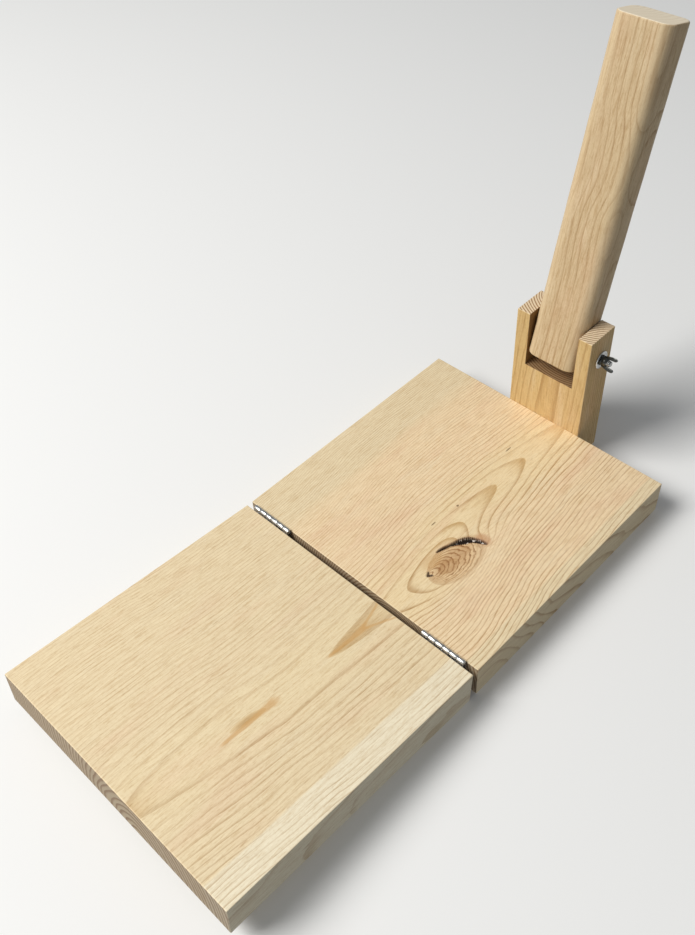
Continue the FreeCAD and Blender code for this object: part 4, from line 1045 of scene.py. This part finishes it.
def cross_recess(piece, half_long, half_wide, deep, head_floor):
    """Press a cross into the head end (lowest z) of a screw."""
    spots = points_of(piece.data)
    x, y = np.abs(spots[:, 0]), np.abs(spots[:, 1])
    arm = np.minimum(np.maximum(x / half_long, y / half_wide), np.maximum(y / half_long, x / half_wide))
    sunk = np.clip((1.08 - arm) / 0.25, 0, 1) * (spots[:, 2] < head_floor)
    spots[:, 2] += sunk * deep * np.clip(1.2 - np.hypot(x, y) / half_long, 0.3, 1)
    piece.data.vertices.foreach_set("co", spots.ravel())


HEAD_RADIUS, HEAD_HEIGHT, HINGE_SHANK, HINGE_SCREW_LENGTH = 3.3 * MM, 2.15 * MM, 1.55 * MM, 16 * MM
HINGE_SCREW_DROP, HINGE_SCREW_PITCH = 11 * MM, 17 * MM
hinge_head = dome(HEAD_RADIUS, HEAD_HEIGHT, 14) + [(HEAD_RADIUS, -0.2 * MM)]
hinge_neck = [(HEAD_RADIUS - 0.1 * MM, 0.0), (HINGE_SHANK, 0.0), (HINGE_SHANK, 3 * MM)]
hinge_thread = screw_thread(HINGE_SHANK, 1.05 * MM, 3 * MM, 3.2 * MM, HINGE_SCREW_LENGTH - 0.6 * MM, 1.1 * MM)
hinge_screw = hinge_head + hinge_neck + hinge_thread + [(0, HINGE_SCREW_LENGTH)]
hinge_screw_wear = [0.0] * 9 + [0.7] * 6 + [0.0] * (len(hinge_screw) - 15)
screw_zinc = zinc("screw_zinc", (0.66, 0.67, 0.68), 0.32, 0.5, 8.0)
for hinge, hinge_x in HINGE_PLACES.items():
    for number, (side, leaf) in enumerate(LEAVES.items()):
        seat = INNER if side == "base" else LID_FACE - LEAF_THICK
        screw = turned("screw", hinge_screw, 44, hinge_screw_wear)
        cross_recess(screw, 1.9 * MM, 0.45 * MM, 1.0 * MM, -0.2 * MM)
        face_outward(screw)
        outward_y = 1 if side == "base" else -1
        tip_to = Matrix.Rotation(math.radians(-90 * outward_y), 4, "X")
        repeat(screw, 3, (-HINGE_SCREW_PITCH, 0, 0), (HINGE_SCREW_PITCH, 0, 0), screw_zinc, 1.5,
               3 + number + int(hinge_x > 0) * 5)
        stand = Matrix.Translation((hinge_x, outward_y * seat, -HINGE_SCREW_DROP))
        screw.data.transform(leaf["turn"] @ stand @ tip_to)
        screw.name = f"{hinge}_{side}_screws_zinc"
        place_in_model(screw, f"{hinge}_{side}_screws", leaf["body"], screw_zinc)


# ------------------------------------------------------------------ post screws
# Four long yellow-plated deck screws, countersunk in the back of the post, run forward into the end of
# the base board.
deck_zinc = zinc("deck_zinc", (0.68, 0.60, 0.40), 0.36, 0.5, 11.0)
flat_head = [(SCREW_HEAD * k / 16, 0.05 * MM) for k in range(16)] + [(SCREW_HEAD, 0.15 * MM)]
cone = [(SCREW_SHANK, SCREW_HEAD - SCREW_SHANK + 0.1 * MM), (SCREW_SHANK, 30 * MM)]
deck_thread = screw_thread(SCREW_SHANK, 1.7 * MM, 8 * MM, 30.5 * MM, SCREW_LENGTH - 1 * MM, 2.4 * MM)
deck_screw = flat_head + cone + deck_thread + [(0, SCREW_LENGTH)]
deck_wear = [0.0] * 14 + [0.8] * 3 + [0.0] * (len(deck_screw) - 17)
deck_screws = turned("post_screws_zinc", deck_screw, 44, deck_wear)
cross_recess(deck_screws, 2.7 * MM, 0.6 * MM, 1.6 * MM, 0.12 * MM)
face_outward(deck_screws)
repeat(deck_screws, 2, (-SCREW_SPAN / 2, SCREW_LOW, 0), (SCREW_SPAN, 0, 0), deck_zinc, 1.2, 4)
repeat(deck_screws, 2, (0, 0, 0), (0, SCREW_RISE, 0), deck_zinc)
forwards = Matrix.Translation((0, post_high.y, 0)) @ Matrix.Rotation(math.radians(90), 4, "X")
deck_screws.data.transform(forwards)
place_in_model(deck_screws, "post_screws", "base", deck_zinc)


# ------------------------------------------------------------------ pivot bolt
# A quarter-inch carriage bolt crosses the fork from the left: a low domed head, a square neck pulled
# into the ear and a rolled thread at the far end.
bolt_low, bolt_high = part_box("pivot_bolt")
BOLT_RADIUS, BOLT_POINT, CAP_RADIUS, CAP_HEIGHT = 3.15 * MM, 0.8 * MM, 7.2 * MM, 3.6 * MM
NECK_HALF, NECK_LENGTH, THREAD_PITCH, THREAD_TURNS = 3.15 * MM, 4 * MM, 1.27 * MM, 18
ear_face = -bolt_low.x - CAP_HEIGHT
bolt_zinc = zinc("bolt_zinc", (0.36, 0.37, 0.37), 0.34, 0.5, 14.0)
cap = dome(CAP_RADIUS, CAP_HEIGHT, 12) + [(CAP_RADIUS, -0.25 * MM), (CAP_RADIUS - 0.2 * MM, 0.0)]
bolt_end = bolt_high.x + ear_face
smooth_end = bolt_end - BOLT_POINT - THREAD_PITCH * THREAD_TURNS
ROOT = BOLT_RADIUS - 0.45 * MM
rod = [(BOLT_RADIUS, 0.0), (BOLT_RADIUS, smooth_end), (ROOT, smooth_end + 0.4 * MM),
       (ROOT, bolt_end - 0.4 * MM), (ROOT - 0.4 * MM, bolt_end), (0, bolt_end)]
bolt_wear = [0.0] * 10 + [0.9] * 4 + [0.0] * 4 + [0.6] * 2
bolt = turned("pivot_bolt_zinc", cap + rod, 48, bolt_wear)
face_outward(bolt)
square = [(-NECK_HALF, -NECK_HALF), (NECK_HALF, -NECK_HALF), (NECK_HALF, NECK_HALF), (-NECK_HALF, NECK_HALF)]
neck = prism("square_neck", square, -0.2 * MM, NECK_LENGTH, 0.3 * MM)
neck.data.transform(Matrix.Rotation(math.radians(-90), 4, "Y"))
TURN_STEPS, CREST = 36, BOLT_RADIUS - 0.02 * MM
section = [(-0.5, ROOT - 0.3 * MM), (-0.42, ROOT), (-0.08, CREST), (0.08, CREST), (0.42, ROOT),
           (0.5, ROOT - 0.3 * MM)]
work = bmesh.new()
rows = []
for step_round in range(TURN_STEPS + 1):
    angle = 2 * math.pi * step_round / TURN_STEPS
    climb = THREAD_PITCH * step_round / TURN_STEPS
    rows.append([work.verts.new((r * math.cos(angle), r * math.sin(angle), climb + t * THREAD_PITCH))
                 for t, r in section])
for first, second in zip(rows[:-1], rows[1:]):
    for k in range(len(section)):
        n = (k + 1) % len(section)
        work.faces.new((first[k], second[k], second[n], first[n]))
work.faces.new(rows[0])
work.faces.new(rows[-1][::-1])
bmesh.ops.recalc_face_normals(work, faces=work.faces)
thread_mesh = bpy.data.meshes.new("thread_turn")
work.to_mesh(thread_mesh)
work.free()
thread = new_piece("thread_turn", thread_mesh)
mark_wear_and_sheen(thread, lambda p: (np.hypot(p[:, 0], p[:, 1]) > BOLT_RADIUS - 0.1 * MM) * 0.7)
repeat(thread, THREAD_TURNS - 1, (0, 0, smooth_end + THREAD_PITCH * 0.6), (0, 0, THREAD_PITCH), bolt_zinc)
bolt = gather("pivot_bolt_zinc", [bolt, neck, thread])
bolt.data.transform(Matrix.Translation((-ear_face, pivot.y, pivot.z)) @ sideways)
place_in_model(bolt, "pivot_bolt", "base", bolt_zinc)


# ------------------------------------------------------------------ bolt washer
# A stamped flat washer under the wing nut, with a rolled upper edge and a sheared lower one.
washer_low, washer_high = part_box("bolt_washer")
WASHER_RADIUS, WASHER_BORE = (washer_high.y - washer_low.y) / 2, 3.5 * MM
WASHER_THICK = washer_high.x - washer_low.x
washer_zinc = zinc("washer_zinc", (0.58, 0.59, 0.59), 0.28, 0.4, 17.0, 0.4)
washer_profile = [(WASHER_BORE, 0), (WASHER_RADIUS - 0.1 * MM, 0), (WASHER_RADIUS, 0.15 * MM),
                  (WASHER_RADIUS, WASHER_THICK - 0.5 * MM),
                  (WASHER_RADIUS - 0.2 * MM, WASHER_THICK - 0.15 * MM),
                  (WASHER_RADIUS - 0.5 * MM, WASHER_THICK), (WASHER_BORE + 0.3 * MM, WASHER_THICK),
                  (WASHER_BORE, WASHER_THICK - 0.3 * MM)]
washer_wear = [0, 0, 0.4, 0.6, 0.9, 0.6, 0.2, 0]
washer = turned("bolt_washer_zinc", washer_profile, 56, washer_wear, hollow=True)
washer.data.transform(Matrix.Translation((washer_low.x, pivot.y, pivot.z)) @ sideways)
face_outward(washer)
place_in_model(washer, "bolt_washer", "base", washer_zinc)


# ------------------------------------------------------------------ wing nut
# A cold-forged wing nut clamps the fork on the lever: a tapered boss with two broad wings that rise
# outwards and are rounded at their tips.  Its metal is painted near black, a painted dark reflection
# of a dim room, and the rims of its wings are lighter, partly where fingers turn it and partly as a
# painted highlight.
NUT_CLEARANCE = 0.1 * MM
nut_face = washer_high.x + NUT_CLEARANCE
NUT_BASE, NUT_TOP, NUT_HEIGHT, NUT_BORE = 5.3 * MM, 4.3 * MM, 6.4 * MM, 3.2 * MM
WING_THICK, WING_SOFT, WING_TURN = 2.2 * MM, 0.42 * MM, math.radians(60)
# near-black base colour: a painted dark reflection, as if the nut mirrored a dim room
nut_zinc_dark_reflection = zinc("nut_zinc_dark_reflection", (0.12, 0.125, 0.12), 0.32, 0.5, 20.0, 0.5)
boss_profile = [(NUT_BORE, 0.4 * MM), (NUT_BORE + 0.4 * MM, 0), (NUT_BASE - 0.3 * MM, 0),
                (NUT_BASE, 0.3 * MM), (NUT_TOP + 0.1 * MM, NUT_HEIGHT - 0.7 * MM),
                (NUT_TOP - 0.2 * MM, NUT_HEIGHT - 0.2 * MM), (NUT_TOP - 0.7 * MM, NUT_HEIGHT),
                (NUT_BORE + 0.3 * MM, NUT_HEIGHT), (NUT_BORE, NUT_HEIGHT - 0.3 * MM)]
boss = turned("boss", boss_profile, 56, hollow=True)
face_outward(boss)
# outline of one wing in millimetres as (reach, rise): up its outer edge, over the tip and down inside
WING = [(3.5, 0.8), (5.4, 1.6), (6.2, 4.6), (7.0, 7.8), (7.4, 9.8), (7.4, 13.0), (7.0, 14.4), (6.0, 15.0),
        (4.8, 14.8), (4.0, 13.4), (3.7, 10.0), (3.5, 6.2)]
wings = []
for flip in (1, -1):
    outline = [(flip * reach * MM, rise * MM) for reach, rise in WING]
    wings.append(prism("wing", outline, -WING_THICK / 2, WING_THICK / 2, WING_SOFT))
nut = gather("wing_nut_zinc", [boss] + wings)
# the rims of the wing tips are marked lighter: partly finger wear, partly a painted highlight along the wing
# edges
mark_wear_and_sheen(nut, lambda p: np.clip((np.abs(p[:, 1]) - 5.4 * MM) / (1.6 * MM), 0, 1)
          * (np.abs(p[:, 0]) < WING_THICK / 2 - 0.2 * MM) * 0.9)
nut_spot = Matrix.Translation((nut_face, pivot.y, pivot.z))
nut.data.transform(nut_spot @ Matrix.Rotation(WING_TURN, 4, "X") @ sideways)
place_in_model(nut, "wing_nut", "wing_nut", nut_zinc_dark_reflection)
